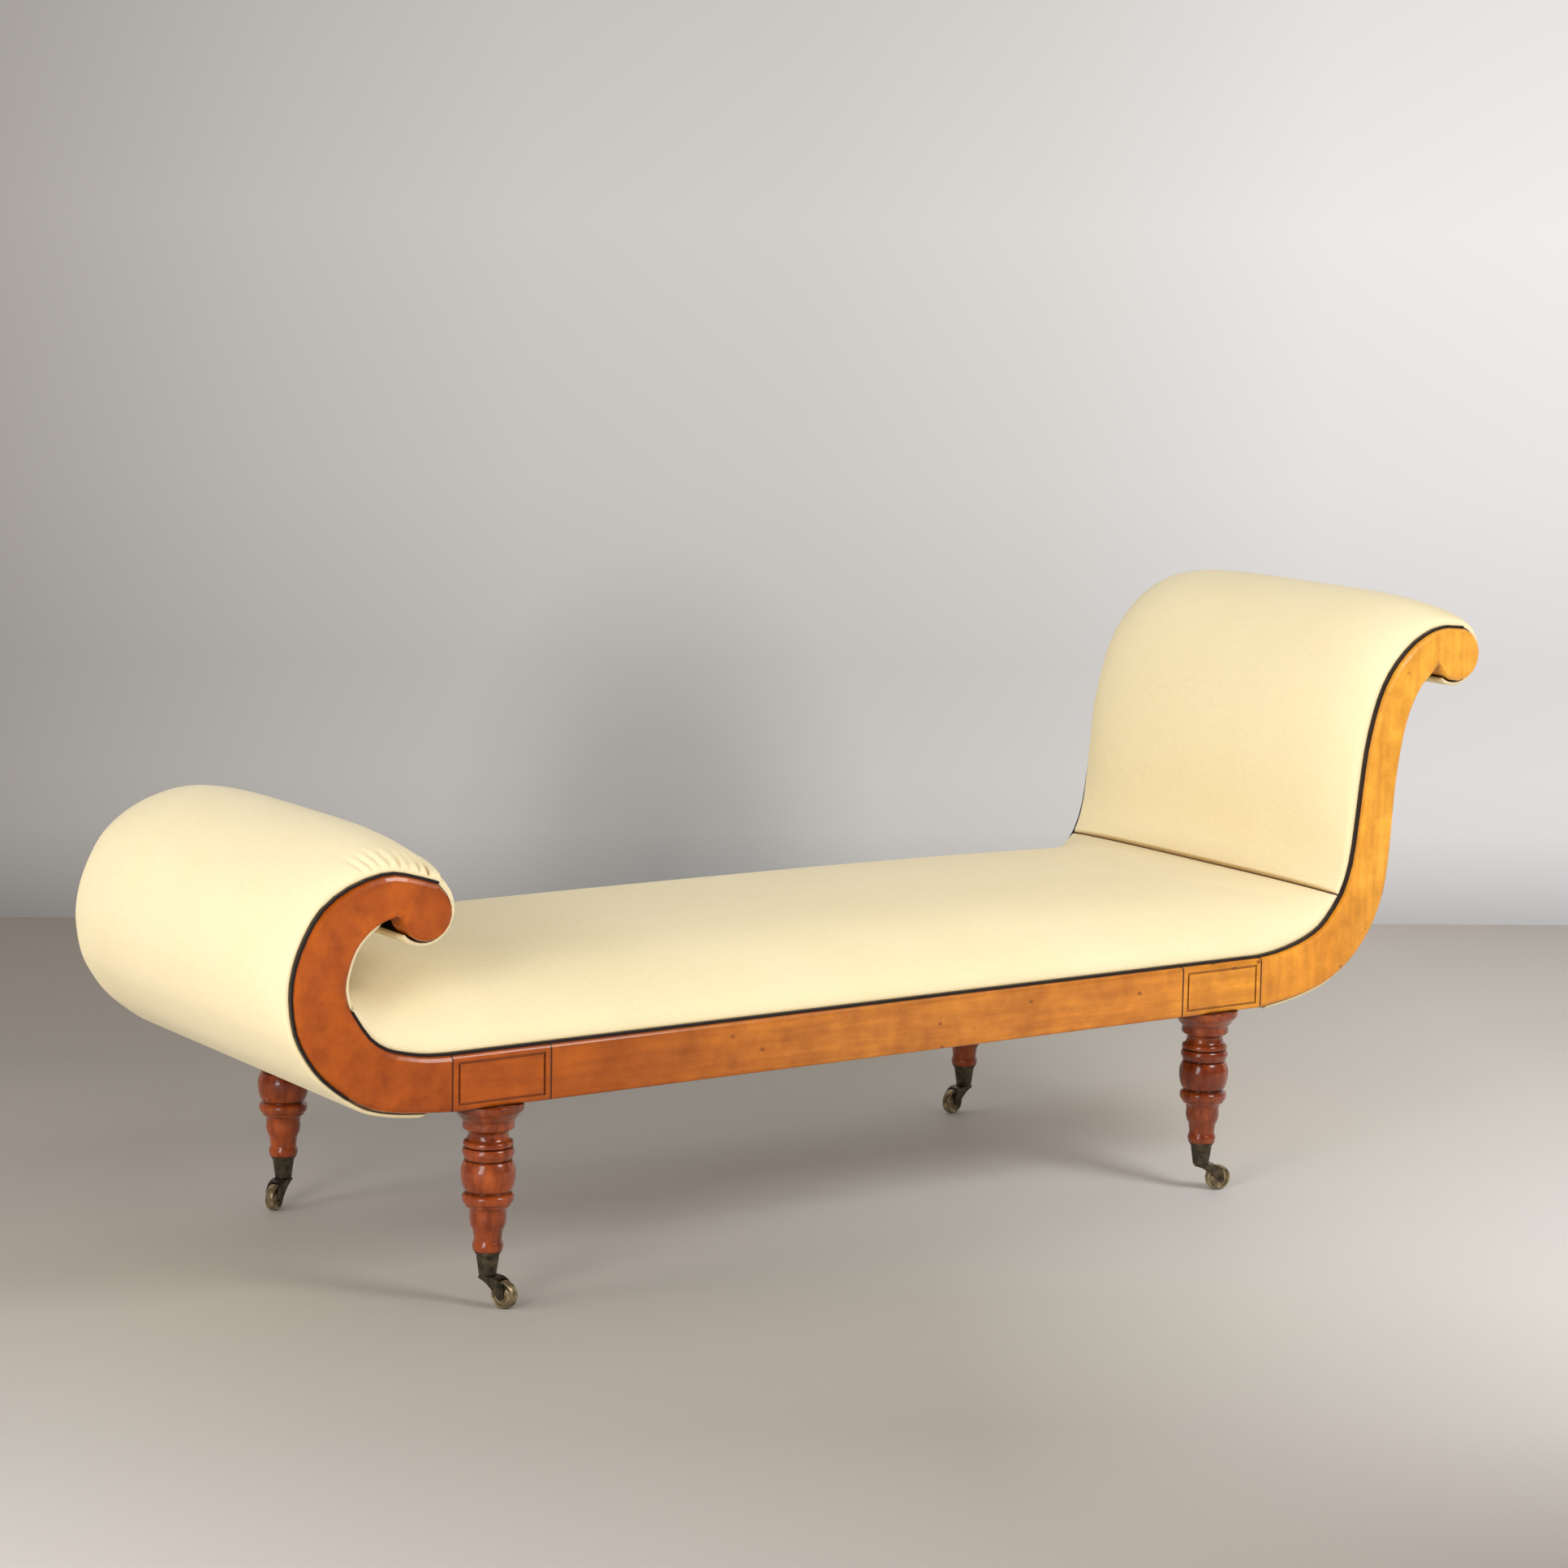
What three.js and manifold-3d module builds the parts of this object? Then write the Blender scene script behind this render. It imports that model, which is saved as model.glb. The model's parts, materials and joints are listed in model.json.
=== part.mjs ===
// Scroll-ended fainting couch: show-wood side frames, upholstery, turned legs and swivel casters.
// Millimetres, +Z up, +X towards the raised head end, -Y towards the front side.
import * as THREE from 'three';
import { mergeVertices } from 'three/addons/utils/BufferGeometryUtils.js';
import Module from 'manifold-3d';

const wasm = await Module();
wasm.setup();

// Plan and frame
const legSpacingAlong = 1150;
const legSpacingAcross = 566;
const legInset = 34;
const railBottom = 261;
const railHeight = 71;
const railThickness = 42;
const blockLength = 140;
const edgeRound = 6;
const jointGap = 0.3;
const cutOverrun = 20;
const sectionCurveSteps = 4;

// Foot scroll, from its joint with the leg block
const footScrollLength = 215;
const footScrollHeight = 302;
const footKnobRadius = 34.5;
const footKnobCentreShares = [0.156, 0.831];
const footKnobTurnShares = [0.2, -0.97];
const footOuterShares = [
  [0, 0], [0.31, 0.02], [0.515, 0.054], [0.658, 0.115], [0.802, 0.199], [0.896, 0.285], [0.97, 0.392],
  [0.998, 0.537], [0.974, 0.659], [0.906, 0.776], [0.802, 0.882], [0.636, 0.959], [0.433, 1],
  [0.292, 0.992],
];
const footInnerShares = [
  [0.463, 0.805], [0.546, 0.763], [0.609, 0.709], [0.651, 0.636], [0.672, 0.56], [0.656, 0.491],
  [0.613, 0.432], [0.519, 0.339], [0.41, 0.285], [0.28, 0.257], [0.14, 0.24],
];

// Head scroll, from its joint with the leg block
const headScrollLength = 390;
const headScrollHeight = 520;
const headKnobRadius = 38;
const headKnobCentreShares = [0.905, 0.923];
const headKnobTurnShares = [0.42, -0.87];
const headMouthShares = [1.06, 0.32];
const headFrontShares = [
  [0.082, 0.143], [0.182, 0.161], [0.264, 0.186], [0.32, 0.218], [0.391, 0.287], [0.43, 0.366],
  [0.451, 0.467], [0.467, 0.567], [0.487, 0.676], [0.519, 0.771], [0.56, 0.848], [0.618, 0.909],
  [0.699, 0.962], [0.786, 0.992], [0.85, 0.999],
];
const headBackShares = [
  [0.771, 0.874], [0.727, 0.845], [0.686, 0.795], [0.658, 0.741], [0.636, 0.671], [0.618, 0.583],
  [0.608, 0.492], [0.6, 0.402], [0.586, 0.314], [0.564, 0.251], [0.522, 0.185], [0.457, 0.122],
  [0.385, 0.077], [0.288, 0.04], [0.152, 0.015],
];
const knobEntryShares = [0.42, 1.03];
const notchReachShare = 1.2;
const stepsPerSpan = 2;
const knobSteps = 10;
const nearShare = 0.001;

// Leg block panel
const panelMargin = 8;
const panelGrooveWidth = 3;
const panelGrooveDepth = 2;

// Ebonised bead
const beadHeight = 3.5;
const beadDepth = 5;
const seatBeadShares = [0.48, 0.81];
const footBeadShares = [0.2, 0.8];

// Hidden cross members
const crossRailThickness = 36;
const crossRailHeight = 60;
const crossRailRise = 4;
const stretcherThickness = 45;
const stretcherHeight = 40;
const stretcherRise = 8;
const stretcherDish = 12;
const endRailThickness = 26;
const endRailHeight = 46;
const crestRailRadius = 22;
const crestRailSegments = 14;
const cornerBlockReach = 48;
const cornerBlockHeight = 46;
const footBottomRailShares = [0.405, 0.157];
const footBackRailShares = [0.830, 0.520];
const headBottomRailShares = [0.21, 0.1];
const headBackRailShares = [0.522, 0.49];

// Webbing
const webThickness = 2;
const webWidth = 50;
const webEdgeInset = 15;
const webFitGap = 0.3;
const webCoverShare = 0.5;
const seatStrapsAcross = 10;
const seatStrapsAlong = 4;
const scrollStrapsAcross = 5;
const scrollStrapsAlong = 3;
const scrollWebShares = [0.12, 0.72];

// Upholstery
const fabricInset = 0.3;
const padEdge = 5;
const seatLoft = 98;
const seatFootCrownShares = [0.36, 0.92];
const seatHeadCrownShare = 0.98;
const crownFlatness = 4;
const crownFall = 0.6;
const seamCrownShare = 0.2;
const seamSpanShare = 0.01;
const seatFootSeamShare = 0.48;
const seatHeadSeamShare = 0.215;
const headCrown = 40;
const headPadEndShare = 0.975;
const headSwellShares = [0.33, 0.69, 0.95];
const footCrown = 38;
const footRollPadShares = [0.04, 0.97];
const footRollSwellShares = [0.24, 0.72, 0.75, 0.94];
const footInsideCrown = 10;
const footInsidePadStartShare = 0.06;
const footInsideSwellShare = 0.4;
const padSeamGap = 0.8;
const backCoverThickness = 2.5;
const backCoverShares = [0.03, 0.97];
const padStationsPerSide = 4;

// Turned leg, radii as shares of the bulb's radius and heights as shares of the leg's height
const legBulbRadius = 34.6;
const legTenonRadius = 16;
const legTenonLength = 48;
const legSegments = 14;
const legProfileShares = [
  [1.3, 1], [1.3, 0.972], [1.16, 0.95], [1.02, 0.925], [0.94, 0.912], [0.94, 0.878], [0.8, 0.866],
  [0.73, 0.852], [0.735, 0.838], [0.79, 0.821], [0.89, 0.812], [0.915, 0.797], [0.87, 0.785],
  [0.92, 0.768], [0.945, 0.754], [0.915, 0.738], [0.87, 0.722], [0.94, 0.695], [0.99, 0.675], [1, 0.65],
  [0.98, 0.62], [0.93, 0.593], [0.86, 0.571], [0.87, 0.56], [0.935, 0.545], [0.945, 0.53], [0.9, 0.507],
  [0.84, 0.491], [0.7, 0.479], [0.665, 0.462], [0.67, 0.431], [0.65, 0.405], [0.6, 0.385],
  [0.555, 0.373], [0.53, 0.351], [0.51, 0.325], [0.55, 0.31], [0.57, 0.295], [0.545, 0.28],
];

// Caster
const wheelRadius = 18;
const wheelWidth = 12;
const wheelSegments = 16;
const wheelHubRadius = 7;
const wheelRimThickness = 4;
const wheelWebWidth = 6;
const axleRadius = 2.5;
const axleClearance = 0.4;
const casterTrail = 27;
const forkCheekThickness = 4;
const forkSideGap = 0.7;
const forkWheelGap = 1.5;
const hornDiscRadius = 9;
const hornDiscThickness = 3.5;
const hornEyeRadius = 5.5;
const hornBackShare = 0.7;
const hornEyeTurnShare = 0.8;
const hornCurveSteps = 5;
const pivotRadius = 3.5;
const pivotHeadRadius = 5.6;
const pivotHeadHeight = 1.8;
const pivotClearance = 0.4;
const pinSegments = 12;
const slotSegments = 24;
const cupHeight = 31;
const cupTopRadius = 15.6;
const cupBottomRadius = 11.2;
const cupLipHeight = 3;
const cupLipProud = 1.1;
const cupWall = 1.4;
const cupBase = 3;
const cupLift = 0.5;
const casterHeadings = {
  front_foot: THREE.MathUtils.degToRad(-68),
  front_head: THREE.MathUtils.degToRad(-13),
  rear_foot: THREE.MathUtils.degToRad(-143),
  rear_head: THREE.MathUtils.degToRad(-165),
};

// Sizes that follow from those above
const halfWidth = legSpacingAcross / 2 + legInset;
const railTop = railBottom + railHeight;
const railInnerFace = halfWidth - railThickness;
const blockDepth = legInset * 2;
const blockInnerFace = halfWidth - blockDepth;
const footJointX = -blockLength / 2;
const headJointX = legSpacingAlong + blockLength / 2;
const beadOuterFace = halfWidth - edgeRound;
const padHalfWidth = beadOuterFace - beadDepth - fabricInset;
const padLift = webFitGap + webThickness + webFitGap;
const wheelAxisHeight = wheelRadius * Math.cos(Math.PI / wheelSegments);
const slotWidth = wheelWidth + forkSideGap * 2;
const forkWidth = slotWidth + forkCheekThickness * 2;

// Materials
function finish(color, roughness, metalness) {
  return () => new THREE.MeshStandardMaterial({ color, roughness, metalness });
}

const satinwood = finish(0xc6752a, 0.38, 0);
const mahogany = finish(0x7c2f14, 0.3, 0);
const ebony = finish(0x241a1c, 0.4, 0);
const beech = finish(0xb58a5c, 0.7, 0);
const fabric = finish(0xf2e0b0, 0.85, 0);
const jute = finish(0x9a8360, 0.95, 0);
const brass = finish(0x8c7440, 0.45, 0.9);

const couch = new THREE.Group();

function addPiece(parent, name, geometry, material) {
  const mesh = new THREE.Mesh(geometry, material());
  mesh.name = name;
  parent.add(mesh);
  return mesh;
}

// Joining and cutting
function toSolid(geometry) {
  const bare = geometry.clone();
  bare.deleteAttribute('normal');
  bare.deleteAttribute('uv');
  const merged = mergeVertices(bare);
  return new wasm.Manifold(new wasm.Mesh({
    numProp: 3,
    vertProperties: Float32Array.from(merged.attributes.position.array),
    triVerts: Uint32Array.from(merged.index.array),
  }));
}

function toGeometry(solid) {
  const mesh = solid.getMesh();
  const geometry = new THREE.BufferGeometry();
  geometry.setAttribute('position', new THREE.BufferAttribute(Float32Array.from(mesh.vertProperties), 3));
  geometry.setIndex(new THREE.BufferAttribute(Uint32Array.from(mesh.triVerts), 1));
  geometry.computeVertexNormals();
  return geometry;
}

function cut(base, ...tools) {
  return toGeometry(tools.reduce((solid, tool) => solid.subtract(toSolid(tool)), toSolid(base)));
}

function join(first, ...others) {
  return toGeometry(others.reduce((solid, other) => solid.add(toSolid(other)), toSolid(first)));
}

// Flat outlines, with x along the couch and y for height
function point(x, z) {
  return new THREE.Vector2(x, z);
}

function smoothThrough(points) {
  return new THREE.SplineCurve(points).getPoints((points.length - 1) * stepsPerSpan);
}

// The edge of a knob between two angles given as shares of half a turn
function knobArc(centre, radius, [from, to]) {
  const arc = new THREE.EllipseCurve(centre.x, centre.y, radius, radius, Math.PI * from, Math.PI * to, true);
  return arc.getPoints(knobSteps);
}

function leftNormals(path) {
  return path.map((_, index) => {
    const before = path[Math.max(index - 1, 0)];
    const after = path[Math.min(index + 1, path.length - 1)];
    const along = after.clone().sub(before).normalize();
    return point(-along.y, along.x);
  });
}

function offsetPath(path, distance) {
  const normals = leftNormals(path);
  return path.map((p, index) => p.clone().addScaledVector(normals[index], distance));
}

function lengthsAlong(path) {
  const lengths = [0];
  for (let i = 1; i < path.length; i += 1) {
    lengths.push(lengths[i - 1] + path[i].distanceTo(path[i - 1]));
  }
  return lengths;
}

function pointAtShare(path, lengths, share) {
  const last = lengths.length - 1;
  const target = lengths[last] * share;
  const reached = lengths.findIndex((length, index) => index > 0 && length >= target);
  const end = reached < 0 ? last : reached;
  const span = lengths[end] - lengths[end - 1];
  return path[end - 1].clone().lerp(path[end], (target - lengths[end - 1]) / span);
}

// The part of a path between two shares of its length, with the corners of the path in between
function partOf(path, fromShare, toShare) {
  const lengths = lengthsAlong(path);
  const total = lengths[lengths.length - 1];
  const inner = path.filter((_, i) => {
    const share = lengths[i] / total;
    return share > fromShare + nearShare && share < toShare - nearShare;
  });
  return [pointAtShare(path, lengths, fromShare), ...inner, pointAtShare(path, lengths, toShare)];
}

// A flat outline carried across the couch from one y to another
function acrossCouch(outline, yFrom, yTo, bevel = 0) {
  const geometry = new THREE.ExtrudeGeometry(new THREE.Shape(outline), {
    depth: yTo - yFrom - bevel * 2,
    bevelEnabled: bevel > 0,
    bevelThickness: bevel,
    bevelSize: bevel,
    bevelOffset: -bevel,
    bevelSegments: 2,
  });
  return geometry.rotateX(Math.PI / 2).translate(0, yTo - bevel, 0);
}

// A band of even thickness on the left side of a path
function bandAcross(path, lift, thickness, yFrom, yTo) {
  const lower = offsetPath(path, lift);
  const upper = offsetPath(path, lift + thickness);
  return acrossCouch([...lower, ...upper.reverse()], yFrom, yTo);
}

function boxBetween(low, high) {
  const size = high.clone().sub(low);
  const middle = low.clone().add(high).multiplyScalar(0.5);
  return new THREE.BoxGeometry(size.x, size.y, size.z).translate(middle.x, middle.y, middle.z);
}

// Outline of the foot scroll
function footPoint([along, up]) {
  return point(footJointX - along * footScrollLength, railBottom + up * footScrollHeight);
}

const footKnob = footPoint(footKnobCentreShares);

function footOuterPath() {
  const entry = point(
    footKnob.x + footKnobRadius * knobEntryShares[0],
    footKnob.y + footKnobRadius * knobEntryShares[1],
  );
  const sweep = smoothThrough([...footOuterShares.map(footPoint), entry]);
  return [...sweep, ...knobArc(footKnob, footKnobRadius, footKnobTurnShares)];
}

function footInnerPath() {
  const mouth = point(footKnob.x - footKnobRadius * notchReachShare, footKnob.y);
  const inside = footInnerShares.map(footPoint);
  return smoothThrough([mouth, ...inside, point(footJointX, railTop)]);
}

// Outline of the head scroll
function headPoint([along, up]) {
  return point(headJointX + along * headScrollLength, railBottom + up * headScrollHeight);
}

const headKnob = headPoint(headKnobCentreShares);

function headFrontPath() {
  const sweep = smoothThrough([point(headJointX, railTop), ...headFrontShares.map(headPoint)]);
  return [...sweep, ...knobArc(headKnob, headKnobRadius, headKnobTurnShares)];
}

function headBackPath() {
  const [mouthIn, mouthDown] = headMouthShares;
  const mouth = point(headKnob.x - headKnobRadius * mouthIn, headKnob.y - headKnobRadius * mouthDown);
  return smoothThrough([mouth, ...headBackShares.map(headPoint), point(headJointX, railBottom)]);
}

const footOuter = footOuterPath();
const footInner = footInnerPath();
const headFront = headFrontPath();
const headBack = headBackPath();

// Side frames
function scroll(outline, yFrom, yTo, towardsJoint, jointX) {
  const pastJoint = (p) => point(jointX + towardsJoint * cutOverrun, p.y);
  const tail = [pastJoint(outline[0]), ...outline, pastJoint(outline[outline.length - 1])];
  const solid = acrossCouch(tail, yFrom, yTo, edgeRound);
  const clear = halfWidth + cutOverrun;
  const face = jointX - towardsJoint * jointGap;
  const far = jointX + towardsJoint * cutOverrun * 2;
  return cut(solid, boxBetween(
    new THREE.Vector3(Math.min(face, far), -clear, 0),
    new THREE.Vector3(Math.max(face, far), clear, railBottom + headScrollHeight),
  ));
}

// Rail section in the y-z plane, rounded along its outer face, carried along x
function railSection(depth, side) {
  const outer = side * halfWidth;
  const inner = side * (halfWidth - depth);
  const round = side * edgeRound;
  const section = new THREE.Shape();
  section.moveTo(inner, railBottom);
  section.lineTo(outer - round, railBottom);
  section.quadraticCurveTo(outer, railBottom, outer, railBottom + edgeRound);
  section.lineTo(outer, railTop - edgeRound);
  section.quadraticCurveTo(outer, railTop, outer - round, railTop);
  section.lineTo(inner, railTop);
  section.closePath();
  return section;
}

function alongCouch(section, xFrom, xTo) {
  const geometry = new THREE.ExtrudeGeometry(section, {
    depth: xTo - xFrom,
    bevelEnabled: false,
    curveSegments: sectionCurveSteps,
  });
  const turn = new THREE.Matrix4().makeBasis(
    new THREE.Vector3(0, 1, 0),
    new THREE.Vector3(0, 0, 1),
    new THREE.Vector3(1, 0, 0),
  );
  return geometry.applyMatrix4(turn).translate(xFrom, 0, 0);
}

// Sunk line around the panel on the outer face of a leg block
function panelGroove(centreX, side) {
  const reachX = blockLength / 2 - panelMargin;
  const reachZ = railHeight / 2 - panelMargin;
  const middleZ = railBottom + railHeight / 2;
  const frame = rectangle(centreX, middleZ, reachX, reachZ);
  frame.holes.push(rectangle(centreX, middleZ, reachX - panelGrooveWidth, reachZ - panelGrooveWidth));
  const depth = panelGrooveDepth + cutOverrun;
  const innerEnd = halfWidth - panelGrooveDepth;
  return new THREE.ExtrudeGeometry(frame, { depth, bevelEnabled: false })
    .rotateX(Math.PI / 2)
    .translate(0, side > 0 ? innerEnd + depth : -innerEnd, 0);
}

function rectangle(centreX, centreZ, reachX, reachZ) {
  const shape = new THREE.Shape();
  shape.moveTo(centreX - reachX, centreZ - reachZ);
  shape.lineTo(centreX + reachX, centreZ - reachZ);
  shape.lineTo(centreX + reachX, centreZ + reachZ);
  shape.lineTo(centreX - reachX, centreZ + reachZ);
  shape.closePath();
  return shape;
}

function uprightCylinder(x, y, radius, zFrom, zTo, segments) {
  const height = zTo - zFrom;
  return new THREE.CylinderGeometry(radius, radius, height, segments)
    .rotateX(Math.PI / 2)
    .translate(x, y, zFrom + height / 2);
}

function legBlock(centreX, side) {
  const section = railSection(blockDepth, side);
  const body = alongCouch(section, centreX - blockLength / 2, centreX + blockLength / 2);
  const bore = uprightCylinder(
    centreX,
    side * legSpacingAcross / 2,
    (legTenonRadius + jointGap) / Math.cos(Math.PI / legSegments),
    railBottom - cutOverrun,
    railBottom + legTenonLength + jointGap,
    legSegments,
  );
  return cut(body, bore, panelGroove(centreX, side));
}

function buildSideFrame(side, label) {
  const yFrom = side > 0 ? railInnerFace : -halfWidth;
  const yTo = yFrom + railThickness;
  const footOutline = [...footOuter, ...footInner];
  const headOutline = [...headFront, ...headBack];
  const railFrom = blockLength / 2 + jointGap;
  const railTo = legSpacingAlong - blockLength / 2 - jointGap;
  const rail = alongCouch(railSection(railThickness, side), railFrom, railTo);
  addPiece(couch, `${label}_foot_scroll`, scroll(footOutline, yFrom, yTo, 1, footJointX), satinwood);
  addPiece(couch, `${label}_foot_block`, legBlock(0, side), satinwood);
  addPiece(couch, `${label}_rail`, rail, satinwood);
  addPiece(couch, `${label}_head_block`, legBlock(legSpacingAlong, side), satinwood);
  addPiece(couch, `${label}_head_scroll`, scroll(headOutline, yFrom, yTo, -1, headJointX), satinwood);
}

// Beads: one from inside the foot scroll to over the head, one round the outside of the foot scroll
function buildBeads(side, label) {
  const yFrom = side > 0 ? beadOuterFace - beadDepth : -beadOuterFace;
  const yTo = yFrom + beadDepth;
  const footStart = partOf(footInner, seatBeadShares[0], 1);
  const headEnd = partOf(headFront, 0, seatBeadShares[1]);
  const seatLine = [...footStart, ...headEnd];
  const footLine = partOf(footOuter, footBeadShares[0], footBeadShares[1]);
  addPiece(couch, `${label}_seat_bead`, bandAcross(seatLine, jointGap, beadHeight, yFrom, yTo), ebony);
  addPiece(couch, `${label}_foot_bead`, bandAcross(footLine, jointGap, beadHeight, yFrom, yTo), ebony);
}

// Cross members hidden under the upholstery
function crossBar(centre, thickness, height, reach) {
  return boxBetween(
    new THREE.Vector3(centre.x - thickness / 2, -reach, centre.y - height / 2),
    new THREE.Vector3(centre.x + thickness / 2, reach, centre.y + height / 2),
  );
}

function dishedStretcher(x) {
  const reach = railInnerFace - jointGap;
  const bottom = railBottom + stretcherRise;
  const top = bottom + stretcherHeight;
  const section = new THREE.Shape();
  section.moveTo(-reach, bottom);
  section.lineTo(reach, bottom);
  section.lineTo(reach, top);
  section.quadraticCurveTo(0, top - stretcherDish * 2, -reach, top);
  section.closePath();
  return alongCouch(section, x - stretcherThickness / 2, x + stretcherThickness / 2);
}

function crestRail(centre, length) {
  return new THREE.CylinderGeometry(crestRailRadius, crestRailRadius, length, crestRailSegments)
    .translate(centre.x, 0, centre.y);
}

function cornerBlock(railX, towards, side) {
  const startX = railX + towards * (crossRailThickness / 2 + jointGap);
  const startY = side * (blockInnerFace - jointGap);
  const section = new THREE.Shape();
  section.moveTo(startX, startY);
  section.lineTo(startX + towards * cornerBlockReach, startY);
  section.lineTo(startX, startY - side * cornerBlockReach);
  section.closePath();
  const geometry = new THREE.ExtrudeGeometry(section, { depth: cornerBlockHeight, bevelEnabled: false });
  return geometry.translate(0, 0, railBottom + crossRailRise);
}

function buildCrossMembers() {
  const blockReach = blockInnerFace - jointGap;
  const railReach = railInnerFace - jointGap;
  const railCentreZ = railBottom + crossRailRise + crossRailHeight / 2;
  const ends = { foot: 0, head: legSpacingAlong };
  for (const [label, x] of Object.entries(ends)) {
    const bar = crossBar(point(x, railCentreZ), crossRailThickness, crossRailHeight, blockReach);
    addPiece(couch, `${label}_cross_rail`, bar, beech);
    const towards = label === 'foot' ? 1 : -1;
    addPiece(couch, `front_${label}_corner_block`, cornerBlock(x, towards, -1), beech);
    addPiece(couch, `rear_${label}_corner_block`, cornerBlock(x, towards, 1), beech);
  }
  addPiece(couch, 'foot_stretcher', dishedStretcher(legSpacingAlong / 3), beech);
  addPiece(couch, 'head_stretcher', dishedStretcher(legSpacingAlong * 2 / 3), beech);
  const endRails = {
    foot_bottom_rail: footPoint(footBottomRailShares),
    foot_back_rail: footPoint(footBackRailShares),
    head_bottom_rail: headPoint(headBottomRailShares),
    head_back_rail: headPoint(headBackRailShares),
  };
  for (const [name, centre] of Object.entries(endRails)) {
    addPiece(couch, name, crossBar(centre, endRailThickness, endRailHeight, railReach), beech);
  }
  addPiece(couch, 'foot_crest_rail', crestRail(footKnob, railReach * 2), beech);
  addPiece(couch, 'head_crest_rail', crestRail(headKnob, railReach * 2), beech);
}

// Woven jute webbing: straps across the frame and straps along the path, joined where they cross
function webbing(path, crossCount, alongCount) {
  const reach = halfWidth - webEdgeInset;
  const sheet = bandAcross(path, webFitGap, webThickness, -reach, reach);
  const pitchY = (railInnerFace - webWidth) * 2 / (alongCount - 1);
  const strapShare = webCoverShare / crossCount;
  const windows = [];
  for (let i = 0; i + 1 < crossCount; i += 1) {
    const pitch = (1 - strapShare) / (crossCount - 1);
    const piece = partOf(path, i * pitch + strapShare, (i + 1) * pitch);
    for (let k = 0; k + 1 < alongCount; k += 1) {
      const yFrom = webWidth / 2 - (railInnerFace - webWidth) + pitchY * k;
      const yTo = yFrom + pitchY - webWidth;
      windows.push(bandAcross(piece, webFitGap - webThickness, webThickness * 3, yFrom, yTo));
    }
  }
  return cut(sheet, ...windows);
}

function buildWebbing() {
  const seatLine = [point(footJointX, railTop), point(headJointX, railTop)];
  const footLine = partOf(footOuter, ...scrollWebShares);
  const headLine = partOf(headFront, ...scrollWebShares);
  addPiece(couch, 'seat_webbing', webbing(seatLine, seatStrapsAcross, seatStrapsAlong), jute);
  addPiece(couch, 'foot_webbing', webbing(footLine, scrollStrapsAcross, scrollStrapsAlong), jute);
  addPiece(couch, 'head_webbing', webbing(headLine, scrollStrapsAcross, scrollStrapsAlong), jute);
}

// Upholstery
function crownShare(across) {
  return Math.max(0, 1 - Math.abs(across) ** crownFlatness) ** crownFall;
}

// A closed body through sections that are lists of x-z points, one section for each station across
function loftAcross(sectionAt) {
  const stations = [];
  for (let k = -padStationsPerSide; k <= padStationsPerSide; k += 1) {
    stations.push(Math.sin(Math.PI / 2 * k / padStationsPerSide));
  }
  const sections = stations.map((across) => sectionAt(crownShare(across)));
  const count = sections[0].length;
  const positions = [];
  sections.forEach((section, row) => {
    section.forEach((p) => positions.push(p.x, stations[row] * padHalfWidth, p.y));
  });
  const indices = [];
  for (let row = 0; row + 1 < sections.length; row += 1) {
    for (let i = 0; i < count; i += 1) {
      const next = (i + 1) % count;
      const a = row * count + i;
      const b = row * count + next;
      indices.push(a, b, a + count, b, b + count, a + count);
    }
  }
  const lastRow = (sections.length - 1) * count;
  THREE.ShapeUtils.triangulateShape(sections[0], []).forEach(([a, b, c]) => {
    indices.push(a, c, b);
    indices.push(lastRow + a, lastRow + b, lastRow + c);
  });
  return facingOut(positions, indices);
}

function facingOut(positions, indices) {
  let volume = 0;
  const corner = (index) => new THREE.Vector3().fromArray(positions, index * 3);
  for (let i = 0; i < indices.length; i += 3) {
    const normal = corner(indices[i + 1]).cross(corner(indices[i + 2]));
    volume += corner(indices[i]).dot(normal);
  }
  const faces = volume < 0 ? indices.reverse() : indices;
  const geometry = new THREE.BufferGeometry();
  geometry.setAttribute('position', new THREE.Float32BufferAttribute(positions, 3));
  geometry.setIndex(faces);
  geometry.computeVertexNormals();
  return geometry;
}

// The direction in which a seam between two pads stands on a path
function seamNormal(path, share) {
  const lengths = lengthsAlong(path);
  const before = pointAtShare(path, lengths, share - seamSpanShare);
  const along = pointAtShare(path, lengths, share + seamSpanShare).sub(before).normalize();
  return point(-along.y, along.x);
}

function padNormals(path, startNormal, endNormal) {
  const normals = leftNormals(path);
  normals[0] = startNormal ?? normals[0];
  normals[normals.length - 1] = endNormal ?? normals[normals.length - 1];
  return normals;
}

function raised(path, normals, distance) {
  return path.map((p, index) => p.clone().addScaledVector(normals[index], distance));
}

// A pad on the left side of a path, whose crown swells between its ends and between its sides
function padAlong(path, normals, crown, crownAlong) {
  const lower = raised(path, normals, padLift);
  const lengths = lengthsAlong(path);
  const total = lengths[lengths.length - 1];
  return loftAcross((share) => {
    const upper = lower.map((p, index) => {
      const swell = crown * crownAlong(lengths[index] / total) * share;
      return p.clone().addScaledVector(normals[index], padEdge + swell);
    });
    return [...lower, ...upper.reverse()];
  });
}

function ramp(value, low, high) {
  const t = THREE.MathUtils.clamp((value - low) / (high - low), 0, 1);
  return t * t * (3 - 2 * t);
}

const footSeamNormal = seamNormal(footInner, seatFootSeamShare);
const headSeamNormal = seamNormal(headFront, seatHeadSeamShare);

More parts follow.
